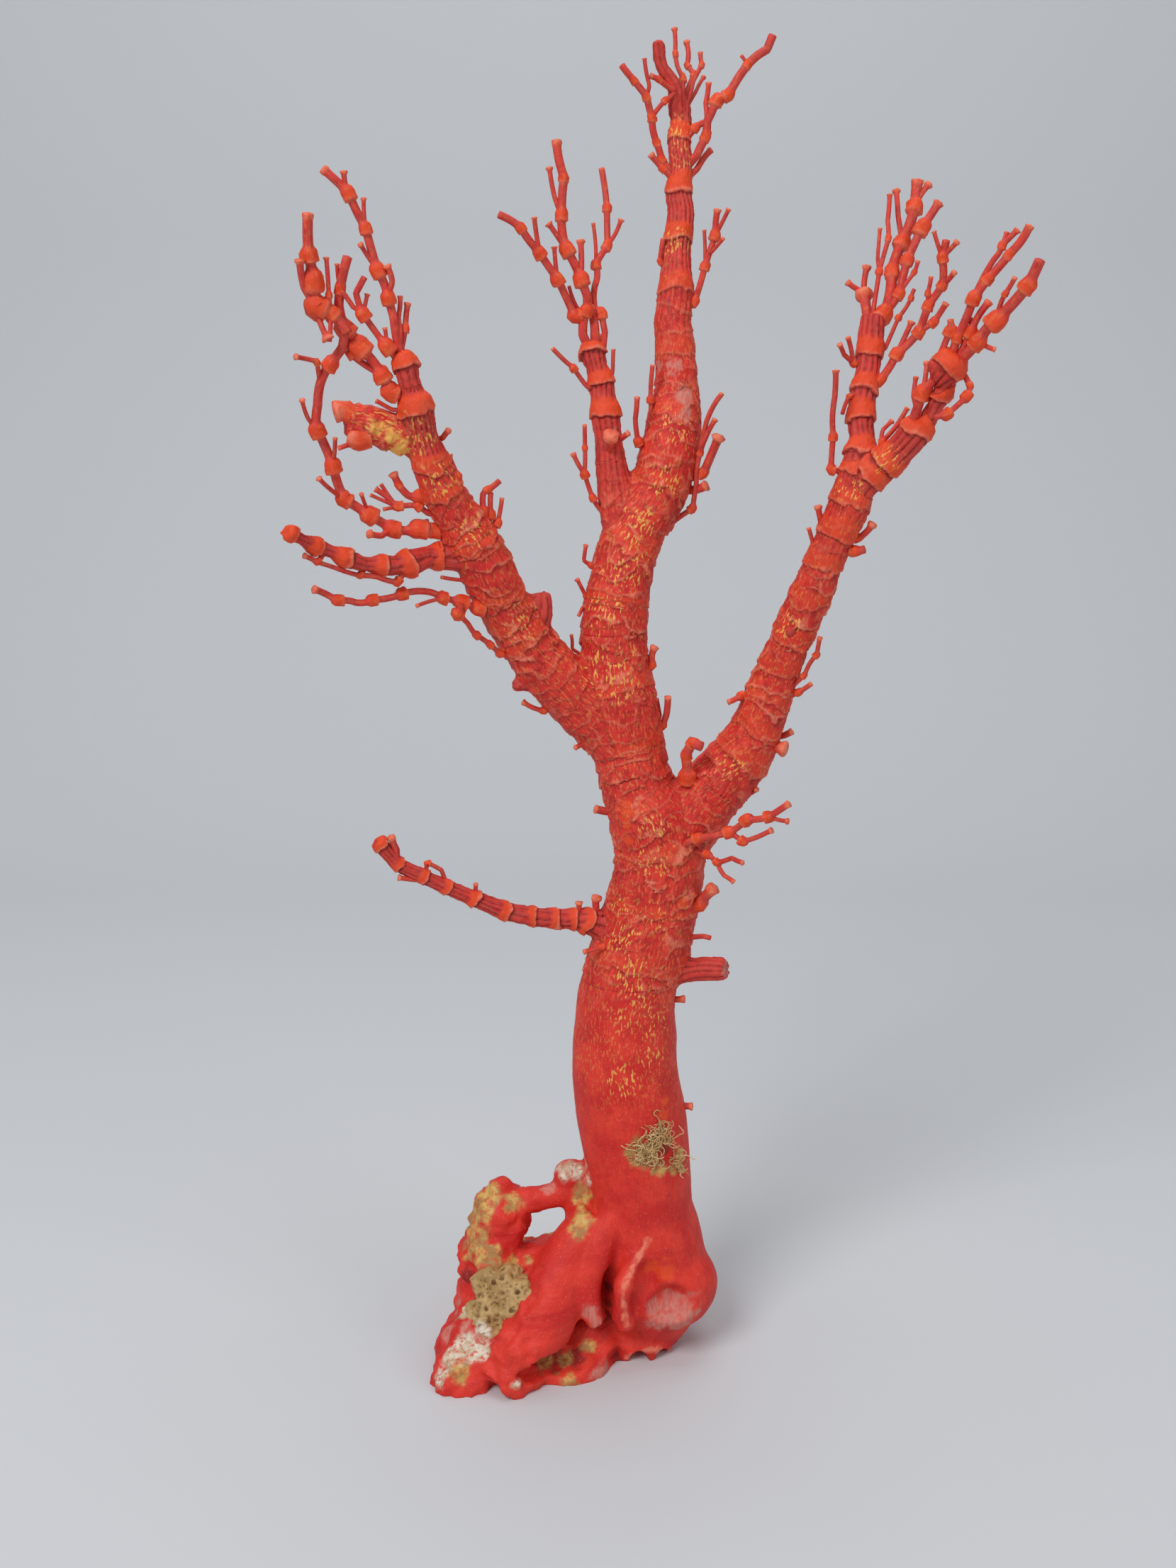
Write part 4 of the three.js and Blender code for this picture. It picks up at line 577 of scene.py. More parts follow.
def ball(x, z, depth, across, deep, high):
    """A squashed ball as a tube whose rings follow a circle."""
    polar = np.linspace(0, math.pi, BALL_ROWS + 2)[1:-1]
    angle = np.linspace(0, 2 * math.pi, BALL_SIDES, endpoint=False)
    flat = np.sin(polar)[:, None]
    level = np.repeat(-np.cos(polar)[:, None], BALL_SIDES, axis=1)
    skin = np.stack([flat * np.cos(angle), flat * np.sin(angle), level], axis=-1).reshape(-1, 3)
    skin = np.concatenate([skin, [(0, 0, -1)], [(0, 0, 1)]])
    return skin * (across, deep, high) + at(x, z, depth), tube_faces(BALL_ROWS, BALL_SIDES)


def new_mesh(name, points, faces):
    """A mesh from places in millimetres and from arrays of faces with one row for each face."""
    corners = np.concatenate([f.ravel() for f in faces])
    sizes = np.concatenate([np.full(len(f), f.shape[1]) for f in faces])
    mesh = bpy.data.meshes.new(name)
    mesh.vertices.add(len(points))
    mesh.vertices.foreach_set("co", (np.asarray(points) * MM).astype(np.float32).ravel())
    mesh.loops.add(len(corners))
    mesh.loops.foreach_set("vertex_index", corners.astype(np.int32))
    mesh.polygons.add(len(sizes))
    mesh.polygons.foreach_set("loop_start", (np.cumsum(sizes) - sizes).astype(np.int32))
    mesh.update(calc_edges=True)
    mesh.validate()
    return mesh


def joined(shapes):
    """Several shapes of places and faces as one."""
    points, quads, fans, start = [], [], [], 0
    for places, (four, three) in shapes:
        points.append(places)
        quads.append(four + start)
        fans.append(three + start)
        start += len(places)
    return np.concatenate(points), [np.concatenate(quads), np.concatenate(fans)]


def new_object(name, mesh):
    made = bpy.data.objects.new(name, mesh)
    bpy.context.scene.collection.objects.link(made)
    return made


def flesh_shapes():
    shapes = [tube(one.places, one.radius, TUBE_SIDES) for one in limbs.values()]
    for stations in ROOTS:
        root = Limb(stations, [(0, "trunk")])
        shapes.append(tube(root.places, root.radius, TUBE_SIDES))
    return shapes + [ball(*lump) for lump in LUMPS]


flesh = flesh_shapes()
print(len(flesh), "tubes and balls make the flesh of the branch")

# %% [markdown]
# All these overlapping tubes and balls become one skin with a voxel remesh, which forgets everything
# inside and keeps one even surface. The hollows are cut out of it, the cut skin is remeshed once more,
# and a little smoothing rounds the crotches of the forks, as living tissue does.

# %% One skin
VOXEL = 0.9
ROUNDING_STEPS = 5


def evaluated(holder):
    """The mesh that an object's modifiers give."""
    tree = bpy.context.evaluated_depsgraph_get()
    return bpy.data.meshes.new_from_object(holder.evaluated_get(tree))


def places_of(mesh):
    flat = np.empty(len(mesh.vertices) * 3, np.float32)
    mesh.vertices.foreach_get("co", flat)
    return flat.reshape(-1, 3).astype(float) / MM


def add_remesh(holder, size):
    modifier = holder.modifiers.new("remesh", "REMESH")
    modifier.mode = "VOXEL"
    modifier.voxel_size = size * MM


def one_skin(name, shapes, hollows, size, rounding):
    holder = new_object(name, new_mesh(name, *joined(shapes)))
    add_remesh(holder, size)
    cutters = [new_object("hollow", new_mesh("hollow", *ball(*hollow))) for hollow in hollows]
    for cutter in cutters:
        cut = holder.modifiers.new("cut", "BOOLEAN")
        cut.operation, cut.solver, cut.object = "DIFFERENCE", "MANIFOLD", cutter
    if cutters:
        add_remesh(holder, size)
    smooth = holder.modifiers.new("smooth", "SMOOTH")
    smooth.factor, smooth.iterations = 0.5, rounding
    mesh = evaluated(holder)
    for spent in [holder, *cutters]:
        bpy.data.objects.remove(spent)
    return mesh


skin = one_skin("skin", flesh, HOLLOWS, VOXEL, ROUNDING_STEPS)
print("one skin of", len(skin.polygons), "faces")

# %% [markdown]
# Every irregular form below comes from repeatable noise. Blender has noise of its own for single points,
# but the skin has hundreds of thousands of them, so the noise is worked out for whole arrays at once.

# %% Noise for arrays of points
PRIMES = np.array([374761393, 668265263, 2246822519], np.uint32)


def lattice(cell, seed):
    """A repeatable random number from 0 to 1 for each whole-number cell."""
    mixed = (cell.astype(np.int64).astype(np.uint32) * PRIMES).sum(axis=-1, dtype=np.uint32)
    mixed = mixed + np.uint32(seed * 40503 + 977)
    mixed = (mixed ^ (mixed >> np.uint32(13))) * np.uint32(1274126177)
    mixed = (mixed ^ (mixed >> np.uint32(15))) * np.uint32(2246822519)
    return (mixed ^ (mixed >> np.uint32(16))) / 4294967295.0


def noise(points, seed=0):
    """Smooth noise from -1 to 1."""
    corner = np.floor(points)
    part = points - corner
    part = part * part * (3 - 2 * part)
    total = np.zeros(len(points))
    for step in itertools.product((0, 1), repeat=3):
        share = np.where(step, part, 1 - part).prod(axis=1)
        total += share * lattice(corner + step, seed)
    return 2 * total - 1


def rough_noise(points, seed=0, layers=3):
    """Noise with finer noise on it."""
    return sum(noise(points * 2**k, seed + 17 * k) / 2**k for k in range(layers))


def cells(points, seed):
    """Distances to the two nearest cell middles, and the way from the nearest one."""
    corner = np.floor(points)
    nearest = np.full(len(points), 9.0)
    second = np.full(len(points), 9.0)
    way = np.zeros_like(points)
    for step in itertools.product((-1, 0, 1), repeat=3):
        cell = corner + step
        middle = cell + np.stack([lattice(cell, seed + k) for k in range(3)], axis=-1)
        offset = points - middle
        distance = np.linalg.norm(offset, axis=1)
        closer = distance < nearest
        second = np.where(closer, nearest, np.minimum(second, distance))
        nearest = np.where(closer, distance, nearest)
        way[closer] = offset[closer]
    return nearest, second, way


def ramp(values, low, high):
    """0 below low, 1 above high, and an easy slope between them."""
    share = np.clip((values - low) / (high - low), 0, 1)
    return share * share * (3 - 2 * share)


print("noise at three points:", noise(np.array([[0.2, 0, 0], [5.5, 1, 2], [9.1, 4, 4]])).round(3))

# %% [markdown]
# A pattern that follows a limb needs to know where each point of the skin is on it: how far along, and
# how far round. Each point takes the limb whose surface is nearest. The place along and around is kept as
# a point on a straightened limb, so that a pattern has no seam at the back.

# %% Where the skin is on its limb
CHUNK = 6000
limb_list = list(limbs.values())
sample_place = np.concatenate([one.places for one in limb_list])
sample_along = np.concatenate([one.along for one in limb_list])
sample_across = np.concatenate([one.across for one in limb_list])
sample_side = np.concatenate([one.side for one in limb_list])
sample_radius = np.concatenate([one.radius for one in limb_list])
sample_scaly = np.concatenate([one.scaly for one in limb_list])
sample_run = np.concatenate([one.run for one in limb_list])
sample_node = np.concatenate([one.node for one in limb_list])
sample_limb = np.concatenate([np.full(len(one.run), i) for i, one in enumerate(limb_list)])


def nearest_samples(points):
    found = []
    square = (sample_place**2).sum(axis=1)
    for start in range(0, len(points), CHUNK):
        part = points[start:start + CHUNK]
        reach = (part**2).sum(axis=1)[:, None] + square - 2 * part @ sample_place.T
        found.append((np.sqrt(np.maximum(reach, 0)) - sample_radius).argmin(axis=1))
    return np.concatenate(found)


def dot(a, b):
    return np.einsum("ij,ij->i", a, b)


class LimbPlace:
    """Where each point is on its limb: run along it, angle round it, and its straightened place."""

    def __init__(self, points):
        self.sample = nearest_samples(points)
        away = points - sample_place[self.sample]
        self.limb = sample_limb[self.sample]
        self.along = sample_along[self.sample]
        self.run = sample_run[self.sample] + dot(away, self.along)
        self.girth = sample_radius[self.sample]
        self.scaly = sample_scaly[self.sample]
        self.angle = np.arctan2(dot(away, sample_side[self.sample]), dot(away, sample_across[self.sample]))
        turn = np.stack([np.cos(self.angle), np.sin(self.angle)], axis=1) * self.girth[:, None]
        self.straight = np.column_stack([turn, self.run]) + 53.7 * self.limb[:, None]


skin_places = places_of(skin)
skin_nodes = sample_node[nearest_samples(skin_places)]
print({node: int((skin_nodes == node).sum()) for node in twig_lists})
# %% [markdown]
# The lower trunk and the holdfast are smooth, so the even skin is fine enough there. Everything above is
# crusty, and its faces are divided once more to carry the crust. So the skin is parted at the forks
# first, and the trunk is parted where its smooth foot turns into its rough crown.

# %% Part the skin at the forks
CROWN_HEIGHT = 128


def quads_of(mesh):
    corners = np.empty(len(mesh.polygons) * 4, np.int32)
    mesh.polygons.foreach_get("vertices", corners)
    return corners.reshape(-1, 4)


skin_quads = quads_of(skin)
skin_nodes = np.where(skin_nodes == "trunk", "trunk_foot", skin_nodes)
skin_nodes[(skin_nodes == "trunk_foot") & (skin_places[:, 2] > CROWN_HEIGHT)] = "trunk_crown"


def part_of_skin(name):
    mine = skin_quads[skin_nodes[skin_quads[:, 0]] == name]
    used, renumbered = np.unique(mine, return_inverse=True)
    return new_mesh(name, skin_places[used], [renumbered.reshape(-1, 4)])


def divided(mesh):
    holder = new_object("divided", mesh)
    modifier = holder.modifiers.new("divide", "SUBSURF")
    modifier.levels = modifier.render_levels = 1
    finer = evaluated(holder)
    bpy.data.objects.remove(holder)
    return finer


coral_names = ["trunk_foot", "trunk_crown", *[node for node in twig_lists if node != "trunk"]]
coral_parts = {name: part_of_skin(name) for name in coral_names}
for name in coral_names[1:]:
    coral_parts[name] = divided(coral_parts[name])
print({name: len(mesh.polygons) for name, mesh in coral_parts.items()})

# %% [markdown]
# The crust on the stout limbs is a mix of two growths. In some places it lies in rounded scales, in others
# in thin wavy wrinkles round the limb. Both are highest at a pale lower edge and fade upwards. Scales are
# the cells of a Voronoi pattern, and wrinkles are a saw-tooth along the limb, both bent by noise. A bump
# map could fake them, but the real ridges also break the outline of the limb.

# %% Scales and wrinkles
SCALE_SIZE = np.array([6.6, 6.6, 5.2])
SCALE_RELIEF = 0.95
SCALE_WARP = 0.5
WRINKLE_SPACING = 5.2
WRINKLE_RELIEF = 0.8


def scales(place):
    """Height, pale lower edges and dark nooks of the scales."""
    warp = np.stack([rough_noise(place.straight / 7.5, seed, 2) for seed in (3, 4, 5)], axis=1)
    nearest, second, way = cells(place.straight / SCALE_SIZE + SCALE_WARP * warp, 11)
    rise = np.clip(-way[:, 2], -0.5, 0.5)
    edge = 1 - ramp(second - nearest, 0.04, 0.2)
    # Height, pale lower edges and painted shade in the nooks of the scales.
    return SCALE_RELIEF * rise, edge * ramp(rise, 0, 0.25), edge * ramp(-rise, 0.1, 0.35)


def wrinkles(place):
    """Height, pale lower edges and painted shade in the nooks of the wrinkles."""
    wave = place.run / WRINKLE_SPACING + 0.8 * noise(place.straight / 8, 13)
    wave += 0.22 * noise(place.straight / 2.4, 14)
    share = wave - np.floor(wave)
    rise = ramp(share, 0, 0.08) * (1 - share) ** 1.7
    edge = ramp(share, 0, 0.06) * (1 - ramp(share, 0.1, 0.22))
    return WRINKLE_RELIEF * rise, edge, ramp(share, 0.88, 0.97)


def crust_of(place):
    """Scales in some places and wrinkles in others, strong here and faint there."""
    which = ramp(noise(place.straight / 13, 9), -0.2, 0.2)
    strength = 0.4 + 0.6 * ramp(noise(place.straight / 8, 8), -0.45, 0.35)
    both = zip(scales(place), wrinkles(place))
    return [strength * ((1 - which) * scale + which * wrinkle) for scale, wrinkle in both]


# %% [markdown]
# A growth ring is a skirt: going up the limb, the skin steps out over a sharp, ragged lip that hangs over
# what is below, and then narrows slowly. The height is a saw-tooth along the limb, with its edge moved
# up and down by noise so that no ring is a plain circle.

# %% Growth rings
LIP_SCALE = 1.2
LIP_STEP = 0.6
SOFTER_ON_CRUST = 0.55


def ring_shape(above, lip, length):
    """Lift, hang, edge, painted shade under the lip, and band of one ring, by the distance above its lip.
    """
    skirt = np.clip(1 - above / length, 0, 1) ** 1.2
    lift = lip * LIP_SCALE * np.where(above < 0, ramp(above, -LIP_STEP, 0), skirt)
    hang = lip * ramp(above, -0.5, 0) * (1 - ramp(above, 0, 1.4))
    edge = ramp(above, -0.4, 0) * (1 - ramp(above, 0.1, 0.8))
    # Just below the lip, where its shadow falls, the colour is darkened as painted shade.
    nook_shade = ramp(above, -1.6, -0.7) * (1 - ramp(above, -0.6, -0.2))
    band = ramp(above, -0.3, 0.2) * (1 - ramp(above, 0.55 * length, 0.9 * length))
    return np.stack([lift, hang, edge, nook_shade, band])


def rings(place):
    """Lift, hang, edge, painted shade under the lip, and band of the strongest ring at each point."""
    strongest = np.zeros((5, len(place.run)))
    drift = 1.2 * noise(place.straight / 6, 21) + 0.6 * noise(place.straight / 1.9, 22)
    drift *= 1 + 0.9 * place.scaly
    for number, one in enumerate(limb_list):
        mine = np.flatnonzero(place.limb == number)
        for start, lip, length in one.rings:
            shape = ring_shape(place.run[mine] - start + drift[mine], lip, length)
            strongest[:, mine] = np.maximum(strongest[:, mine], shape)
    strongest[0] *= 1 + 0.45 * noise(place.straight / 3.2, 23)
    strongest[:4] *= 1 - SOFTER_ON_CRUST * place.scaly
    return strongest


# %% [markdown]
# Between its rings a slender limb is a bundle of rods grown side by side, with grooves between them.
# A whole number of lobes round the limb gives the grooves, bent by noise along its length.

# %% Bundled rods
ROD_SPACING = 2.4
GROOVE_DEPTH = 0.22
lobe_counts = np.array([max(4, round(2 * math.pi * one.radius.mean() / ROD_SPACING)) for one in limb_list])


def grooves(place):
    """Depth of the grooves between the rods, from 0 to 1."""
    bend = 1.6 * noise(place.straight / (7, 7, 15), 31) + 0.6 * noise(place.straight / (2, 2, 7), 32)
    lobes = np.abs(np.sin(lobe_counts[place.limb] * place.angle / 2 + bend))
    return (1 - lobes) ** 2.2


# %% [markdown]
# Stains and worn spots belong to certain places: gold flecks on the crust, lime on the foot, pale broken
# faces, tan remains of the rock. Other spots are painted shade in the deepest crevices of the foot. Each
# is a list of spots read in the front plane, with a size. A ray from the eye finds where a spot lies on
# the skin, so it sits on the surface seen from any side.

# %% Spots on the skin
SPOTS = {
    "pale": [(8, 6, 5), (13, 7, 6), (17, 11, 5), (12, 14, 4.5), (6, 10, 4), (15, 4, 4), (-15, 9, 3.6),
             (-13, 6, 3), (-11, -15, 4.6), (-8, -13, 4), (13, 309, 3.6), (13, 303, 3), (9, 317.4, 2.6),
             (5, 317, 2), (28.4, 130, 2.6), (-13.2, 154, 1.6), (-9, 297.6, 2.2), (48, 257, 1.6),
             (-60, 12, 3.4), (-57, 4, 3), (-63, 2, 3), (-29, 54, 2.4)],
    # The next list is painted shade: darker spots in the deepest crevices and recesses of the foot and in
    # the pit of the tuft.
    "painted_shade": [(-9.4, 13, 2.4), (-9, 8, 2.4), (-9, 18, 2), (-28, -9, 5), (-34, -10, 4), (-20, -9, 4),
             (-56.5, 22.6, 2.6),
             (-6, -9, 3), (1, -9, 2), (8, -8, 2), (15, -6, 2), (9, 67.6, 2.4)],
    "lime": [(-56, -3, 5), (-52, -6, 4), (-59, -3, 4), (-58, 36, 2.6), (-24, 61.5, 4),
             (-19.5, 60.5, 4), (-16, 57, 2.4),
             (-62, -8, 4), (-57, 8, 2.6), (-66, -15, 3), (-40, -18, 2.4), (-52, 2, 3)],
    "tan": [(-50, 52, 6), (-52, 47, 6), (-54, 41, 6), (-53, 35, 7), (-49, 29, 6.4), (-41, 49, 3.6),
            (-46, 25, 5),
            (-18.5, 52, 4.4), (-18, 47, 4), (-18.5, 43, 3.6), (-19.5, 39, 3), (-31, -10, 3.4),
            (-16, -3, 2.6), (-23, -17, 3.4),
            (-60, -13, 4), (-41, 26, 3.4), (-36, 28, 2), (-24, -9, 3), (0, 63.4, 2.2), (3, 62, 2.2),
            (6, 61.2, 2.2), (9, 60.8, 2.2), (12, 60.8, 2.2), (14.6, 61.4, 2), (-1.6, 67, 2.4),
            (0, 71, 2.2), (14, 66, 3), (-75, 297, 2.6), (-72, 293, 3), (-71, 289, 2.2), (-79, 298.6, 2)],
    "orange": [(-4, 173, 2.2), (-4, 182, 3), (-3.6, 178, 2.2), (21.5, 158, 3), (14, 152, 2.4),
               (6, 148, 2),
               (9, 80, 2), (9, 84, 1.8), (9, 68, 2), (10, 24, 4), (6, 26, 3)],
    "gold": [(5, 178, 5), (-5, 150, 5), (6, 147, 5), (-5, 140, 6), (-3, 128, 7), (-4, 112, 6),
             (5, 100, 5),
             (4, 165, 6), (-8, 225, 9), (-14, 226, 7), (-12, 245, 7), (-4, 258, 8), (0, 270, 7),
             (8, 284, 6),
             (11, 300, 6), (-70, 296, 8), (-78, 298, 7), (-60, 284, 6), (-50, 270, 7), (-36, 240, 6),
             (46, 240, 5), (62, 280, 5), (74, 291, 4), (28, 196, 6), (10, 376, 5), (9, 352, 5),
             (10, 384, 4),
             (-4, 92, 6), (6, 112, 6), (0, 122, 7)],
}
RIMS = [
    [(4, 35), (0.8, 29), (-2.6, 22), (-4.2, 16.5), (-3.8, 10), (-2.6, 4)],
    [(-3, -8), (4, -5), (12, -5), (18, -2)],
]
RIM_WIDTH = 1.1
RIM_STEP = 0.6
rim_lines = [smooth_line([np.array(place, float) for place in line], RIM_STEP)[0] for line in RIMS]
SPOTS["rim"] = [(x, z, RIM_WIDTH) for x, z in np.concatenate(rim_lines)]
skin_tree = BVHTree.FromPolygons((skin_places * MM).tolist(), skin_quads.tolist())


def on_skin(x, z):
    """The first place where the line of sight through a place in the front plane meets the skin."""
    towards = np.array([x, 0, z]) - EYE
    hit = skin_tree.ray_cast(Vector(EYE * MM), Vector(towards).normalized())
    return np.array(hit[0]) / MM if hit[0] else None


spot_places = {}
for kind, spots in SPOTS.items():
    found = [(on_skin(x, z), size) for x, z, size in spots]
    spot_places[kind] = [(place, size) for place, size in found if place is not None]


def spot_strength(points, kind, raggedness=0.5):
    """How strongly each point is marked by the spots of one kind, from 0 to 1."""
    strongest = np.zeros(len(points))
    ragged = raggedness * rough_noise(points / 2.4, 41, 4)
    for place, size in spot_places[kind]:
        away = np.linalg.norm(points - place, axis=1) / size
        strongest = np.maximum(strongest, 1 - ramp(away + ragged, 0.5, 1.15))
    return strongest


print({kind: len(found) for kind, found in spot_places.items()})

# %% [markdown]
# Now the skin gets its relief. Stout limbs carry crust, slender ones carry rods, both carry rings, and
# the smooth foot only swells a little. The heights move the points along their normals, and the lips also
# move down the limb, which makes them hang. What the colours need is kept as named values on the points.

# %% Relief of the coral
SWELL_SIZE = 9
GRAIN_SIZE = 1.2
KNOB_SIZE = 3.6
CREASE_SIZE = 5
REMAINS_SIZE = 1.9
CRUST_STARTS, CRUST_ENDS = 106, 142
FLECKS_START = 74
HOLDFAST_STARTS, HOLDFAST_ENDS = 50, 66
LEFT_FOOT_STARTS, LEFT_FOOT_ENDS = -36, -26
BACK_STARTS, BACK_ENDS = 2, 12


def normals_of(mesh):
    flat = np.empty(len(mesh.vertices) * 3, np.float32)
    mesh.vertex_normals.foreach_get("vector", flat)
    return flat.reshape(-1, 3).astype(float)


def set_values(mesh, name, values):
    kind, key = ("FLOAT_VECTOR", "vector") if values.ndim == 2 else ("FLOAT", "value")
    layer = mesh.attributes.new(name, kind, "POINT")
    layer.data.foreach_set(key, values.astype(np.float32).ravel())


def relief(points, normals):
    """Moved points and the values that the colours read."""
    place = LimbPlace(points)
    crust = ramp(points[:, 2] + 6 * noise(points / 12, 2), CRUST_STARTS, CRUST_ENDS)
    foot = 1 - ramp(points[:, 2], HOLDFAST_STARTS, HOLDFAST_ENDS)
    left = 1 - ramp(points[:, 0], LEFT_FOOT_STARTS, LEFT_FOOT_ENDS)
    back = ramp(points[:, 1], BACK_STARTS, BACK_ENDS)
    rugged = foot * np.maximum(left, back)
    lift, edge, nook_shade = (crust * place.scaly * part for part in crust_of(place))
    ring_lift, hang, ring_edge, ring_shade, band = (crust * part for part in rings(place))
    groove = crust * (1 - place.scaly) * (1 - band) * grooves(place)
    spot_strengths = {kind: spot_strength(points, kind) for kind in SPOTS}
    spot_strengths["tan"] = np.maximum(spot_strengths["tan"], foot * back * ramp(rough_noise(points / 9, 71), 0.2, 0.5))
    spot_strengths["lime"] = np.maximum(spot_strengths["lime"], foot * back * ramp(rough_noise(points / 8, 72), 0.4, 0.65))
    sprinkled = 0.25 * ramp(points[:, 2], FLECKS_START, CRUST_STARTS) * np.maximum(place.scaly, 1 - crust)
    gold = np.maximum(sprinkled, 0.9 * spot_strengths["gold"])
    height = lift * (1 - 0.5 * band) + ring_lift - GROOVE_DEPTH * place.girth * groove
    height += (0.2 + 0.4 * rugged) * rough_noise(points / SWELL_SIZE, 6)
    height += (0.06 + 0.1 * crust) * rough_noise(points / GRAIN_SIZE, 7, 2)
    creases = 1.3 * np.abs(noise(points / CREASE_SIZE, 15))
    height += rugged * (0.9 * rough_noise(points / KNOB_SIZE, 9) + 0.5 - creases)
    height += (0.8 * spot_strengths["lime"] + 0.55 * spot_strengths["tan"]) * rough_noise(points / REMAINS_SIZE, 10)
    height += 0.35 * spot_strengths["pale"] * foot * rough_noise(points / (1.4, 1.4, 5), 12)
    moved = points + normals * height[:, None] - place.along * (0.75 * hang)[:, None]
    ridge = np.maximum.reduce([edge, ring_edge, spot_strengths["rim"]])
    # Painted shade: the nooks of scales and wrinkles, the shadow under each ring's lip, the grooves between
    # rods and the crevice spots are darkened in the colour; it is the second of the relief values.
    painted_shade = np.maximum.reduce([0.4 * nook_shade, ring_shade, 0.7 * groove, spot_strengths["painted_shade"]])
    bands = np.maximum(band * (1 - 0.65 * place.scaly), spot_strengths["orange"])
    values = {
        "straight": place.straight,
        "relief": np.stack([ridge, painted_shade, bands], axis=1),
        "spot_strength": np.stack([gold, spot_strengths["pale"], spot_strengths["lime"]], axis=1),
        "tan": spot_strengths["tan"],
        "crust": crust,
        "rod": crust * (1 - place.scaly) * (1 - band),
    }
    return moved, values


reliefs = {name: relief(places_of(mesh), normals_of(mesh)) for name, mesh in coral_parts.items()}
print("relief on", sum(len(moved) for moved, values in reliefs.values()), "points")

# %% [markdown]
# A twig is a tube whose thickness follows its knuckles. Going up, a knuckle steps out sharply over a
# lower lip, stays full and angular, and narrows as sharply into the next rod. At the tip it flares into a
# cap. Each profile is a list of places along the axis, in knuckle radii, and of fullness from 0 to 1.

# %% Knuckles and caps
KNUCKLE_PROFILE = [(-1.1, 0), (-1, 0.15), (-0.85, 0.95), (-0.65, 1), (0.25, 0.94), (0.6, 0.66),
                   (0.85, 0.22), (1.1, 0)]
CAP_PROFILE = [(-1.9, 0), (-1.1, 0.1), (-0.6, 0.85), (-0.3, 1), (0, 0.82)]
TWIG_SIDES = 12
TWIG_STEP = 0.9
SHORTEST_STEP = 0.12
SLIMMING = 0.86
random = np.random.default_rng(7)


class Knuckle:
    """A swelling of a twig: where it is full, how wide it is, and its flat sides."""

    def __init__(self, middle, girth, is_cap):
        offsets, self.fullness = np.array(CAP_PROFILE if is_cap else KNUCKLE_PROFILE).T
        self.radius = girth / 2
        self.offsets = middle + offsets * self.radius
        self.is_cap = is_cap
        self.turn = random.uniform(0, 2 * math.pi)
        self.flats = random.integers(4, 7)

    def share(self, run):
        return np.interp(run, self.offsets, self.fullness, left=0, right=0)

    def lip(self, run):
        return (not self.is_cap) * np.exp(-((run - self.offsets[2]) / (0.25 * self.radius)) ** 2)

    def swollen(self, run, angle, rod):
        angular = 1 + 0.1 * np.cos(self.flats * angle + self.turn)
        return rod / 2 + (self.radius * angular - rod / 2) * self.share(run)[:, None]


def twig_axis(path, knuckles, at_run):
    """Runs along the twig where it gets a ring of points, and the places there, each rod slightly bowed."""
    corners = np.array([at(*p[:3]) for p in path])
    stops = [np.arange(0, at_run[-1], TWIG_STEP), at_run[-1:], *[one.offsets for one in knuckles]]
    run = np.unique(np.concatenate(stops).round(2))
    run = run[(run >= 0) & (run <= at_run[-1])]
    run = run[np.concatenate([[True], np.diff(run) > SHORTEST_STEP])]
    places = np.stack([np.interp(run, at_run, corners[:, k]) for k in range(3)], axis=1)
    lengths = np.diff(at_run)
    bow = random.normal(0, 0.03, (len(lengths), 3)) * np.minimum(lengths, 9)[:, None]
    segment = np.clip(np.searchsorted(at_run, run, "right") - 1, 0, len(lengths) - 1)
    share = (run - at_run[segment]) / lengths[segment]
    return run, places + bow[segment] * np.sin(math.pi * share)[:, None]


print(len(KNUCKLE_PROFILE), "steps in a knuckle,", len(CAP_PROFILE), "in a cap")

# %% [markdown]
# The rings of points are set across the axis, the rods get a few lengthwise flutes, and the knuckles get
# their flats and a rough skin. The named values are the same as those of the limbs, so that one finish
# serves both.

# %% Twig skins
FLUTES = 3
FLUTE_DEPTH = 0.13


def rod_radius(rod, run, angle):
    taper = 1 - 0.12 * run / run[-1]
    flutes = 1 + FLUTE_DEPTH * np.sin(angle * FLUTES + random.uniform(0, 6) + 0.05 * run[:, None])
    return rod / 2 * taper[:, None] * flutes


def spokes_at(run, places, angle):
    """Directions from the axis to the points of each ring, and the directions along the axis."""
    window = np.minimum(0.7, run[-1] / 6)
    ahead, behind = (np.stack([np.interp(run + shift, run, places[:, k]) for k in range(3)], axis=1)
                     for shift in (window, -window))
    along = unit(ahead - behind)
    across = unit(BACKWARDS - (along @ BACKWARDS)[:, None] * along)
    side = np.cross(across, along)
    return across[:, None] * np.cos(angle)[:, None] + side[:, None] * np.sin(angle)[:, None], along


def on_every_point(values):
    """A value of each ring, given to its points and to the two tips."""
    every = np.repeat(values, TWIG_SIDES)
    return np.concatenate([every, every[:1], every[-1:]])


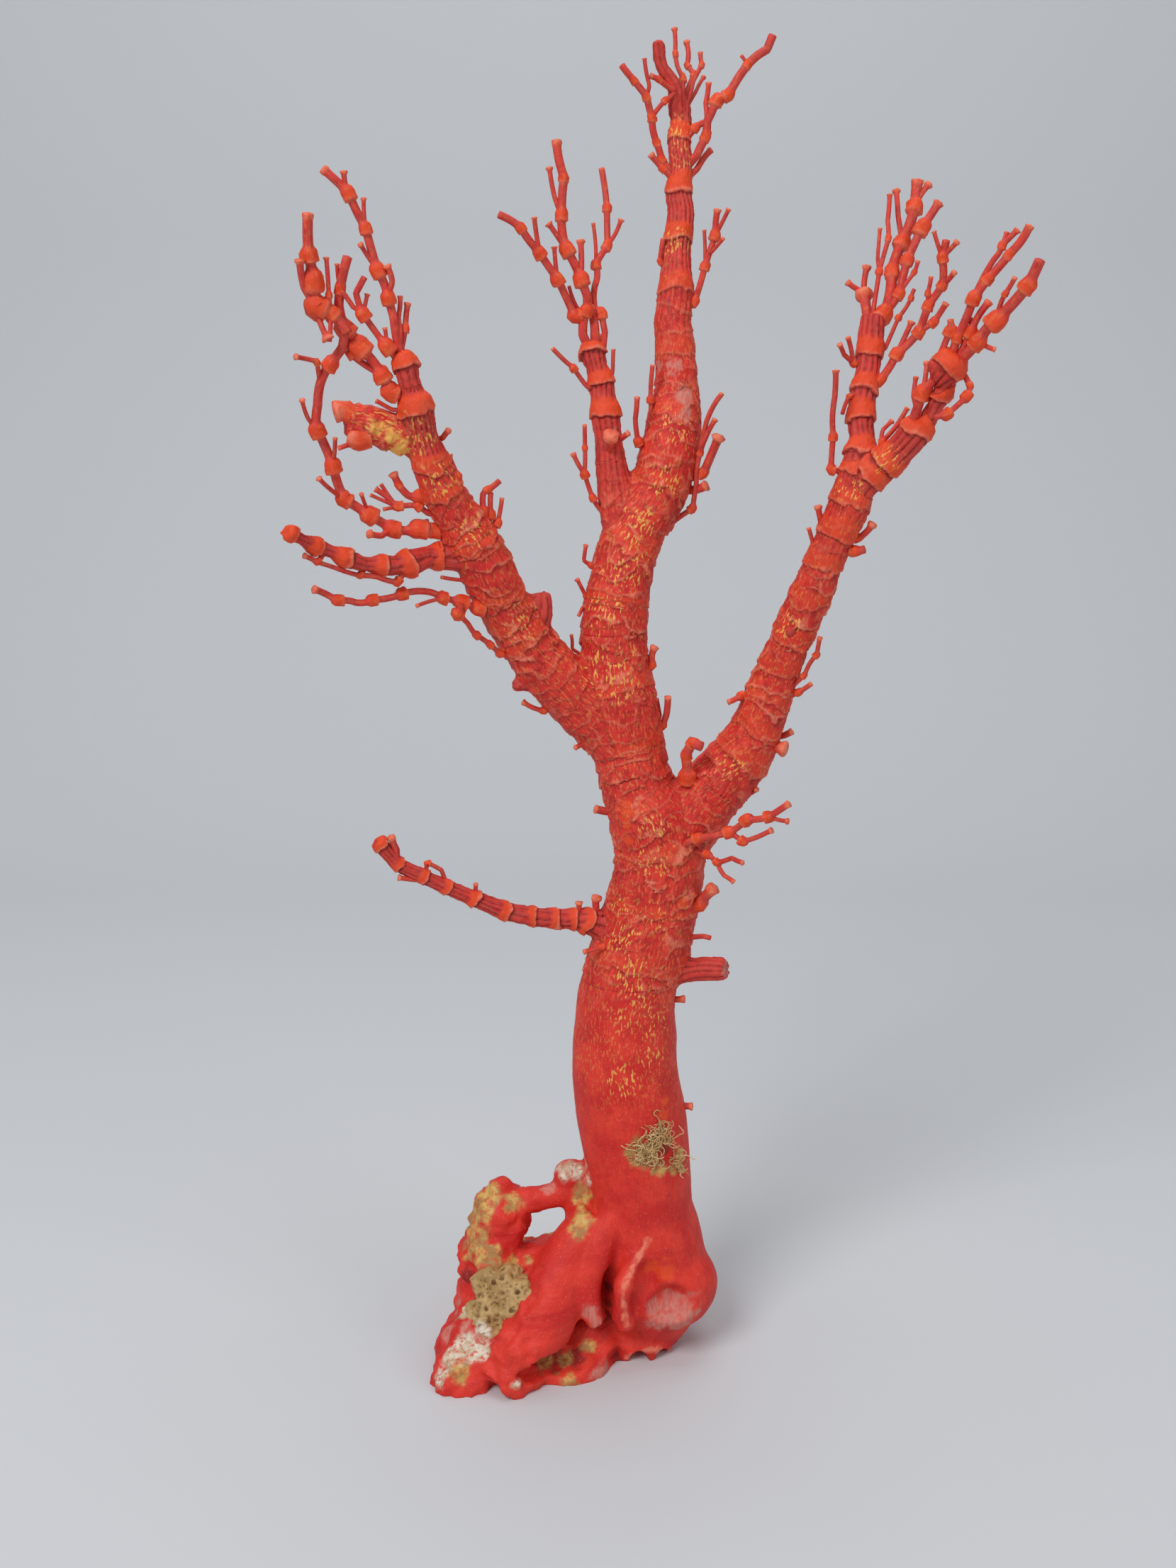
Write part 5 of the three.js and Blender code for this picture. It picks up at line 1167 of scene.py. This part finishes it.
def twig_skin(rod, path):
    """A closed twig, with the same named values as the skin."""
    corners = np.array([at(*p[:3]) for p in path])
    at_run = np.concatenate([[0], np.cumsum(np.linalg.norm(np.diff(corners, axis=0), axis=1))])
    last = len(path) - 1
    knuckles = [Knuckle(at_run[i], p[3], i == last) for i, p in enumerate(path) if p[3] > rod]
    run, places = twig_axis(path, knuckles, at_run)
    angle = np.linspace(0, 2 * math.pi, TWIG_SIDES, endpoint=False)
    radius = rod_radius(rod, run, angle)
    band, lip, cap = np.zeros((3, len(run)))
    for one in knuckles:
        radius = np.maximum(radius, one.swollen(run, angle, rod))
        band = np.maximum(band, one.share(run))
        lip = np.maximum(lip, one.lip(run))
        cap = np.maximum(cap, one.is_cap * one.share(run))
    spokes, along = spokes_at(run, places, angle)
    points = (places[:, None] + spokes * radius[:, :, None]).reshape(-1, 3)
    rough = 0.1 * np.repeat(band * rod, TWIG_SIDES) * rough_noise(points / 1.2, 51, 2)
    points += spokes.reshape(-1, 3) * rough[:, None]
    points = np.concatenate([points, places[:1], places[-1:] + along[-1:] * 0.12 * rod])
    ones = np.ones(len(points))
    turn = np.concatenate([np.tile(angle, len(run)), [0, 0]])
    flat = np.stack([np.cos(turn) * rod / 2, np.sin(turn) * rod / 2, on_every_point(run)], axis=1)
    values = {
        "straight": flat + random.uniform(0, 900, 3),
        "relief": np.stack([
            on_every_point(np.maximum(cap, 0.6 * lip)), 0 * ones, on_every_point(band),
        ], axis=1),
        "spot_strength": np.stack([0.12 * ones, 0 * ones, 0 * ones], axis=1),
        "tan": 0 * ones,
        "crust": ones,
        "rod": 1 - on_every_point(band),
    }
    return points, tube_faces(len(run), TWIG_SIDES), values


twig_skins = {
    node: [twig_skin(rod * SLIMMING, path) for rod, path in twigs] for node, twigs in slender_twigs.items()
}
print("twig faces:", sum(len(f) for made in twig_skins.values() for p, faces, v in made for f in faces))


# %% [markdown]
# Each part of the coral becomes one mesh: its skin and its twigs together, with their named values. Where
# the skin was parted, the open edge is filled, and the foot is cut off flat at the floor that it stands on.

# %% Coral pieces
def closed(mesh, cut_floor):
    """Fills the open edges, after cutting the foot at the floor."""
    work = bmesh.new()
    work.from_mesh(mesh)
    if cut_floor:
        everything = [*work.verts, *work.edges, *work.faces]
        floor = {"plane_co": (0, 0, 0), "plane_no": (0, 0, 1)}
        bmesh.ops.bisect_plane(work, geom=everything, clear_inner=True, **floor)
    open_edges = [edge for edge in work.edges if edge.is_boundary]
    bmesh.ops.holes_fill(work, edges=open_edges, sides=0)
    bmesh.ops.triangulate(work, faces=[face for face in work.faces if len(face.verts) > 4])
    work.to_mesh(mesh)
    work.free()


def coral_piece(name):
    mesh = coral_parts[name]
    moved, values = reliefs[name]
    body = new_mesh(name, moved, [quads_of(mesh)])
    for key, value in values.items():
        set_values(body, key, value)
    closed(body, cut_floor=name == "trunk_foot")
    piece = new_object(name + "_skin", body)
    twigs = twig_skins.get("trunk" if name == "trunk_crown" else name, [])
    if twigs:
        points, faces = joined([(p, f) for p, f, v in twigs])
        twig_mesh = new_mesh(name + "_twigs", points, faces)
        for key in values:
            set_values(twig_mesh, key, np.concatenate([v[key] for p, f, v in twigs]))
        other = new_object(name + "_twigs", twig_mesh)
        with bpy.context.temp_override(active_object=piece, selected_editable_objects=[piece, other]):
            bpy.ops.object.join()
    piece.data.shade_smooth()
    node = "trunk" if name.startswith("trunk") else name
    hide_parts(node)
    return piece


coral_pieces = [coral_piece(name) for name in coral_names]
for piece in coral_pieces:
    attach(piece, "root")
    print(piece.name, sum(len(p.vertices) - 2 for p in piece.data.polygons), "triangles")

# %% [markdown]
# The holdfast grips a piece of tan, porous rock. A few lumps are remeshed into one, the front is
# flattened like a broken face, and pits of two sizes are pressed into it. Pits are the middles of
# Voronoi cells, pushed in; a texture alone would leave the edge of the rock smooth.

# %% Porous rock
ROCK_LUMPS = [
    (-48, 17.4, 13.8, 6.4, 9, 7), (-43, 19.6, 13.4, 6.6, 8.6, 6.4), (-38, 15, 16.8, 7.6, 8, 7),
    (-49.6, 6.4, 17, 9, 9, 9),
    (-41.6, 5.6, 19.6, 8.6, 8, 8.6), (-54.4, 0.4, 18.8, 6.2, 8, 6.4), (-48.4, -5, 23, 8, 8.6, 8),
    (-32.8, 15, 19.6, 4.8, 6, 4),
]
ROCK_VOXEL = 0.4
FACING = np.array([-0.3, -0.92, 0.25])
BROKEN_SHARE = 0.35
FLATTENING = 0.6


def rock_relief(mesh):
    """A broken, flattened front with pits of two sizes."""
    points, normals = places_of(mesh), normals_of(mesh)
    forward = points @ FACING
    beyond = np.maximum(forward - np.quantile(forward, 1 - BROKEN_SHARE), 0)
    points = points - FLATTENING * beyond[:, None] * FACING
    small = cells(points / 1.5, 64)[0]
    large = cells(points / 3.2, 65)[0]
    pit = 0.6 * (1 - ramp(small, 0.2, 0.46)) + 0.9 * (1 - ramp(large, 0.16, 0.34))
    height = 1.4 * rough_noise(points / 5, 66) + 0.4 * rough_noise(points / 1.7, 67) - pit + 0.6
    lime = spot_strength(points, "lime", 0.6)
    height += 0.7 * lime
    mesh.vertices.foreach_set("co", ((points + normals * height[:, None]) * MM).astype(np.float32).ravel())
    set_values(mesh, "pit", np.clip(pit, 0, 1) * (1 - 0.6 * lime))
    set_values(mesh, "lime", lime)


rock_mesh = one_skin("holdfast_rock_skin", [ball(*lump) for lump in ROCK_LUMPS], [], ROCK_VOXEL, 4)
rock_relief(rock_mesh)
closed(rock_mesh, cut_floor=True)
rock_mesh.shade_smooth()
rock = new_object("holdfast_rock_skin", rock_mesh)
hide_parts("holdfast_rock")
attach(rock, "root")
print("rock faces:", len(rock_mesh.polygons))

# %% [markdown]
# In a scar on the front of the trunk sits a mat of curly tan fibres. Hair would be lost when the object
# is handed on, so each fibre is a thin tube that wanders over the skin, held just above it.

# %% Fibre tuft
TUFT_CORNERS = np.array([(8, 79), (-2.5, 65), (15, 62)])
FIBRES = 230
FIBRE_STEPS = 18
FIBRE_STEP = 0.62
FIBRE_SIDES = 5
PIT = (9.4, 67.4, 3.4)


def fibre():
    """A curl that starts in the tuft and wanders over the trunk."""
    shares = random.dirichlet((1.1, 1.1, 1.1))
    x, z = shares @ TUFT_CORNERS
    start = on_skin(x, z)
    if start is None or math.hypot(x - PIT[0], z - PIT[1]) < PIT[2]:
        return None
    heading = random.uniform(0, 2 * math.pi)
    curl = random.normal(0, 0.5)
    height = random.uniform(0.1, 1.5)
    places = []
    place = start + np.array([0, -height, 0])
    for _ in range(random.integers(9, FIBRE_STEPS)):
        places.append(place)
        curl += random.normal(0, 0.16)
        heading += curl
        pull = 0.045 * (start - place)
        step = FIBRE_STEP * np.array([math.cos(heading), random.normal(0, 0.25), math.sin(heading)])
        place = place + step + pull
    places = np.array(places)
    radius = np.full(len(places), random.uniform(0.11, 0.2))
    points, faces = tube(places, radius, FIBRE_SIDES)
    return points, faces, np.full(len(points), random.uniform(0, 1))


fibres = [made for made in (fibre() for _ in range(FIBRES)) if made]
tuft_mesh = new_mesh("fibre_tuft_curls", *joined([(p, f) for p, f, v in fibres]))
set_values(tuft_mesh, "shade", np.concatenate([v for p, f, v in fibres]))
tuft_mesh.shade_smooth()
tuft = new_object("fibre_tuft_curls", tuft_mesh)
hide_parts("fibre_tuft")
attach(tuft, "root")
print(len(fibres), "fibres")

# %% [markdown]
# Colours are worked out in the shader. A small class wraps a socket, so that sums of sockets can be
# written as plain sums, and one method makes every other node.

# %% Shader sums
class Wire:
    def __init__(self, tree, socket):
        self.tree = tree
        self.socket = socket

    def node(self, kind, settings=None, inputs=None, output=0):
        """A new node of a kind, with its settings and socket values, as the wire of one of its outputs."""
        made = self.tree.nodes.new("ShaderNode" + kind)
        for name, value in (settings or {}).items():
            setattr(made, name, value)
        for name, value in (inputs or {}).items():
            if isinstance(value, Wire):
                self.tree.links.new(value.socket, made.inputs[name])
            else:
                made.inputs[name].default_value = value
        return Wire(self.tree, made.outputs[output])

    def maths(self, operation, *values):
        return self.node("Math", {"operation": operation}, dict(enumerate(values)))

    def __add__(self, other):
        return self.maths("ADD", self, other)

    def __mul__(self, other):
        return self.maths("MULTIPLY", self, other)

    def __sub__(self, other):
        return self.maths("SUBTRACT", self, other)

    def __rsub__(self, other):
        return self.maths("SUBTRACT", other, self)

    __radd__ = __add__
    __rmul__ = __mul__

    def between(self, low, high):
        """0 below low, 1 above high."""
        return self.node("MapRange", {"interpolation_type": "SMOOTHSTEP"},
                         {"Value": self, "From Min": low, "From Max": high})

    def mixed(self, first, second):
        """The first colour where this is 0 and the second where it is 1."""
        return self.node("Mix", {"data_type": "RGBA"}, {0: self, 6: first, 7: second}, 2)

    def stretched(self, x, y, z):
        return self.node("VectorMath", {"operation": "MULTIPLY"}, {0: self, 1: (x, y, z)})

    def noise(self, scale, detail=3.0):
        return self.node("TexNoise", {}, {"Vector": self, "Scale": scale, "Detail": detail})

    def parts(self):
        made = self.tree.nodes.new("ShaderNodeSeparateXYZ")
        self.tree.links.new(self.socket, made.inputs[0])
        return [Wire(self.tree, out) for out in made.outputs]


def colour(red, green, blue):
    """A colour as it looks on a screen, 0 to 255, turned into the light that a shader works with."""
    linear = [((c / 255 + 0.055) / 1.055) ** 2.4 for c in (red, green, blue)]
    return (*linear, 1)


def new_material(name):
    material = bpy.data.materials.new(name)
    material.use_nodes = True
    shader = material.node_tree.nodes["Principled BSDF"]
    return material, shader, Wire(material.node_tree, None)


def value_of(wire, name):
    return wire.node("Attribute", {"attribute_name": name}, output=2)


def vector_of(wire, name):
    return wire.node("Attribute", {"attribute_name": name}, output=1)


print("crimson as light:", colour(200, 30, 25))

# %% [markdown]
# Coral: a saturated red that turns orange on the knuckles and bands and pale pink on the worn edges,
# and is darkened in the nooks, grooves and crevices as painted shade. Fine lengthwise grain runs along
# every rod and up the trunk, and gold flecks of another growth sit in the crust. The patterns use the
# straightened place of each point, so the grain follows every limb.

# %% Coral material
DEEP_RED = colour(160, 18, 20)
RED = colour(208, 36, 30)
BRIGHT_RED = colour(226, 56, 40)
ORANGE = colour(232, 76, 30)
ROSE = colour(204, 80, 70)
# The deep red of the painted shade in nooks, grooves and crevices.
SHADE_RED = colour(96, 10, 14)
PINK = colour(238, 132, 104)
BROKEN_PINK = colour(206, 126, 112)
GOLD = colour(236, 176, 84)
LIME = colour(222, 210, 190)
LIME_SHADE = colour(192, 168, 136)
TAN = colour(172, 128, 74)
STRAW = colour(212, 172, 96)

coral, shader, wire = new_material("coral")
straight = vector_of(wire, "straight")
ridge, nook_shade, band = vector_of(wire, "relief").parts()
gold, pale, lime = vector_of(wire, "spot_strength").parts()
tan = value_of(wire, "tan")
crust = value_of(wire, "crust")
rod = value_of(wire, "rod")
spread = wire.node("TexCoord", output=3)
blotch = spread.noise(700, 4.0)
streaks = spread.stretched(1, 1, 0.16).noise(900, 3.0)

clouds = straight.noise(0.12)
mottle = straight.noise(0.42, 5.0)
grain = straight.stretched(1, 1, 0.1).noise(1.7)
fibrous = straight.stretched(1, 1, 0.05).noise(3.4, 2.0)
speckle = straight.noise(0.85, 4.0)
flecks = straight.stretched(1, 1, 0.4).noise(1.5, 2.0)
body = clouds.between(0.35, 0.65).mixed(RED, BRIGHT_RED)
body = ((0.35 + 0.65 * crust) * mottle.between(0.46, 0.66) * 0.6).mixed(body, DEEP_RED)
body = (grain.between(0.45, 0.7) * (0.2 + 0.3 * crust)).mixed(body, DEEP_RED)
body = (crust * fibrous.between(0.52, 0.7) * 0.4).mixed(body, ROSE)
body = (rod * (0.2 + 0.5 * grain.between(0.4, 0.62))).mixed(body, ROSE)
body = (band * (0.6 + 0.4 * speckle)).mixed(body, ORANGE)
# Painted shade: nooks, grooves and crevices are darkened.
body = (nook_shade * 0.7).mixed(body, SHADE_RED)
body = (ridge * (0.35 + 0.5 * speckle.between(0.38, 0.56))).mixed(body, PINK)
body = (gold * flecks.between(0.55, 0.63)).mixed(body, GOLD)
body = (pale * (0.5 + 0.5 * streaks.between(0.36, 0.6))).mixed(body, BROKEN_PINK)
specks = spread.noise(1500, 2.0)
body = ((1 - crust) * specks.between(0.6, 0.72) * 0.25).mixed(body, PINK)
remains = spread.noise(260, 3.0).between(0.4, 0.6).mixed(TAN, STRAW)
remains = crust.mixed(remains, GOLD)
body = (tan * (0.45 + 0.55 * blotch.between(0.36, 0.54))).mixed(body, remains)
chalk = spread.noise(420, 4.0).between(0.4, 0.6).mixed(LIME, LIME_SHADE)
body = (lime * (0.2 + 0.8 * blotch.between(0.34, 0.5))).mixed(body, chalk)
roughness = 0.5 + 0.2 * speckle + 0.12 * nook_shade
height = 0.4 * grain + 0.6 * speckle + 0.4 * fibrous
bump = wire.node("Bump", {}, {"Strength": 0.6, "Distance": 0.0006, "Height": height})
wire.tree.links.new(body.socket, shader.inputs["Base Color"])
wire.tree.links.new(roughness.socket, shader.inputs["Roughness"])
wire.tree.links.new(bump.socket, shader.inputs["Normal"])
shader.inputs["Specular IOR Level"].default_value = 0.35
for piece in coral_pieces:
    piece.data.materials.clear()
    piece.data.materials.append(coral)
print("coral nodes:", len(coral.node_tree.nodes))

# %% [markdown]
# Rock and fibres: the rock is tan with a white crust of lime, and its pits are darkened towards brown
# as painted shade; the fibres run from straw to brown, each with a shade of its own.

# %% Rock and fibre materials
ROCK_TAN = colour(192, 158, 106)
ROCK_BROWN = colour(164, 128, 78)
ROCK_LIGHT = colour(214, 182, 128)
ROCK_LIME = colour(228, 218, 200)
# The brown of the painted shade in the pits.
PIT_SHADE = colour(104, 66, 34)
FIBRE_BROWN = colour(182, 136, 78)
FIBRE_STRAW = colour(230, 198, 144)
FIBRE_SHADE = colour(138, 100, 56)

rock_finish, shader, wire = new_material("rock")
place = wire.node("TexCoord", output=3)
pit = value_of(wire, "pit")
lime = value_of(wire, "lime")
mottle = place.noise(520, 4.0)
patches = place.noise(150, 3.0)
body = patches.between(0.38, 0.62).mixed(ROCK_TAN, ROCK_BROWN)
# Painted shade: the pits are darkened towards brown.
body = (pit * 0.85).mixed(body, PIT_SHADE)
body = (mottle.between(0.52, 0.7) * 0.5).mixed(body, ROCK_LIGHT)
body = (lime * mottle.between(0.3, 0.5)).mixed(body, ROCK_LIME)
bump = wire.node("Bump", {}, {"Strength": 0.6, "Distance": 0.0006, "Height": mottle})
wire.tree.links.new(body.socket, shader.inputs["Base Color"])
wire.tree.links.new(bump.socket, shader.inputs["Normal"])
shader.inputs["Roughness"].default_value = 0.9
rock.data.materials.append(rock_finish)

fibre_finish, shader, wire = new_material("fibre")
shade = value_of(wire, "shade")
mottle = wire.node("TexCoord", output=3).noise(900, 2.0)
body = shade.mixed(FIBRE_BROWN, FIBRE_STRAW)
body = (mottle.between(0.5, 0.72) * 0.45).mixed(body, FIBRE_SHADE)
wire.tree.links.new(body.socket, shader.inputs["Base Color"])
shader.inputs["Roughness"].default_value = 0.8
tuft.data.materials.append(fibre_finish)
print("rock and fibre are finished")

# %% [markdown]
# The branch stands on a plain pale sweep, a floor that bends up into a backdrop, so there is no line
# behind it. One broad soft light stands high on the left in front, a weaker one on the right, and the
# pale surroundings fill the shadows.

# %% Sweep, lights and surroundings
SWEEP_HALF = 1.6
SWEEP_FRONT = -1.4
BEND_START = 0.55
BEND_RADIUS = 0.5
BACK_HEIGHT = 1.8
PALE_GREY = colour(205, 207, 210)


def sweep():
    turn = np.linspace(0, math.pi / 2, 25)
    bend_y = BEND_START + BEND_RADIUS * np.sin(turn)
    bend_z = BEND_RADIUS * (1 - np.cos(turn))
    y = np.concatenate([[SWEEP_FRONT], bend_y, [BEND_START + BEND_RADIUS]])
    z = np.concatenate([[0], bend_z, [BACK_HEIGHT]])
    left = np.stack([np.full_like(y, -SWEEP_HALF), y, z], axis=1)
    right = left * (-1, 1, 1)
    first = np.arange(len(y) - 1)
    faces = np.stack([first, first + len(y), first + len(y) + 1, first + 1], axis=1)
    return new_object("sweep", new_mesh("sweep", np.concatenate([left, right]) / MM, [faces]))


floor = sweep()
floor.data.shade_smooth()
paper, shader, wire = new_material("pale paper")
shader.inputs["Base Color"].default_value = PALE_GREY
shader.inputs["Roughness"].default_value = 0.9
floor.data.materials.append(paper)


def soft_light(name, place, aim, size, power):
    lamp = bpy.data.lights.new(name, "AREA")
    lamp.shape, lamp.size, lamp.energy = "DISK", size, power
    holder = bpy.data.objects.new(name, lamp)
    holder.location = place
    holder.rotation_euler = (Vector(aim) - Vector(place)).to_track_quat("-Z", "Y").to_euler()
    bpy.context.scene.collection.objects.link(holder)


MIDDLE = (0, 0, 0.2)
soft_light("key", (-0.7, -1.1, 1.3), MIDDLE, 0.8, 17)
soft_light("fill", (1.2, -0.9, 0.7), MIDDLE, 1.0, 4)
soft_light("top", (0.1, 0.2, 1.6), MIDDLE, 1.0, 6)
world = bpy.context.scene.world or bpy.data.worlds.new("surroundings")
bpy.context.scene.world = world
world.use_nodes = True
world.node_tree.nodes["Background"].inputs["Color"].default_value = (0.9, 0.95, 1, 1)
world.node_tree.nodes["Background"].inputs["Strength"].default_value = 0.32
bpy.context.scene.view_settings.view_transform = "Standard"
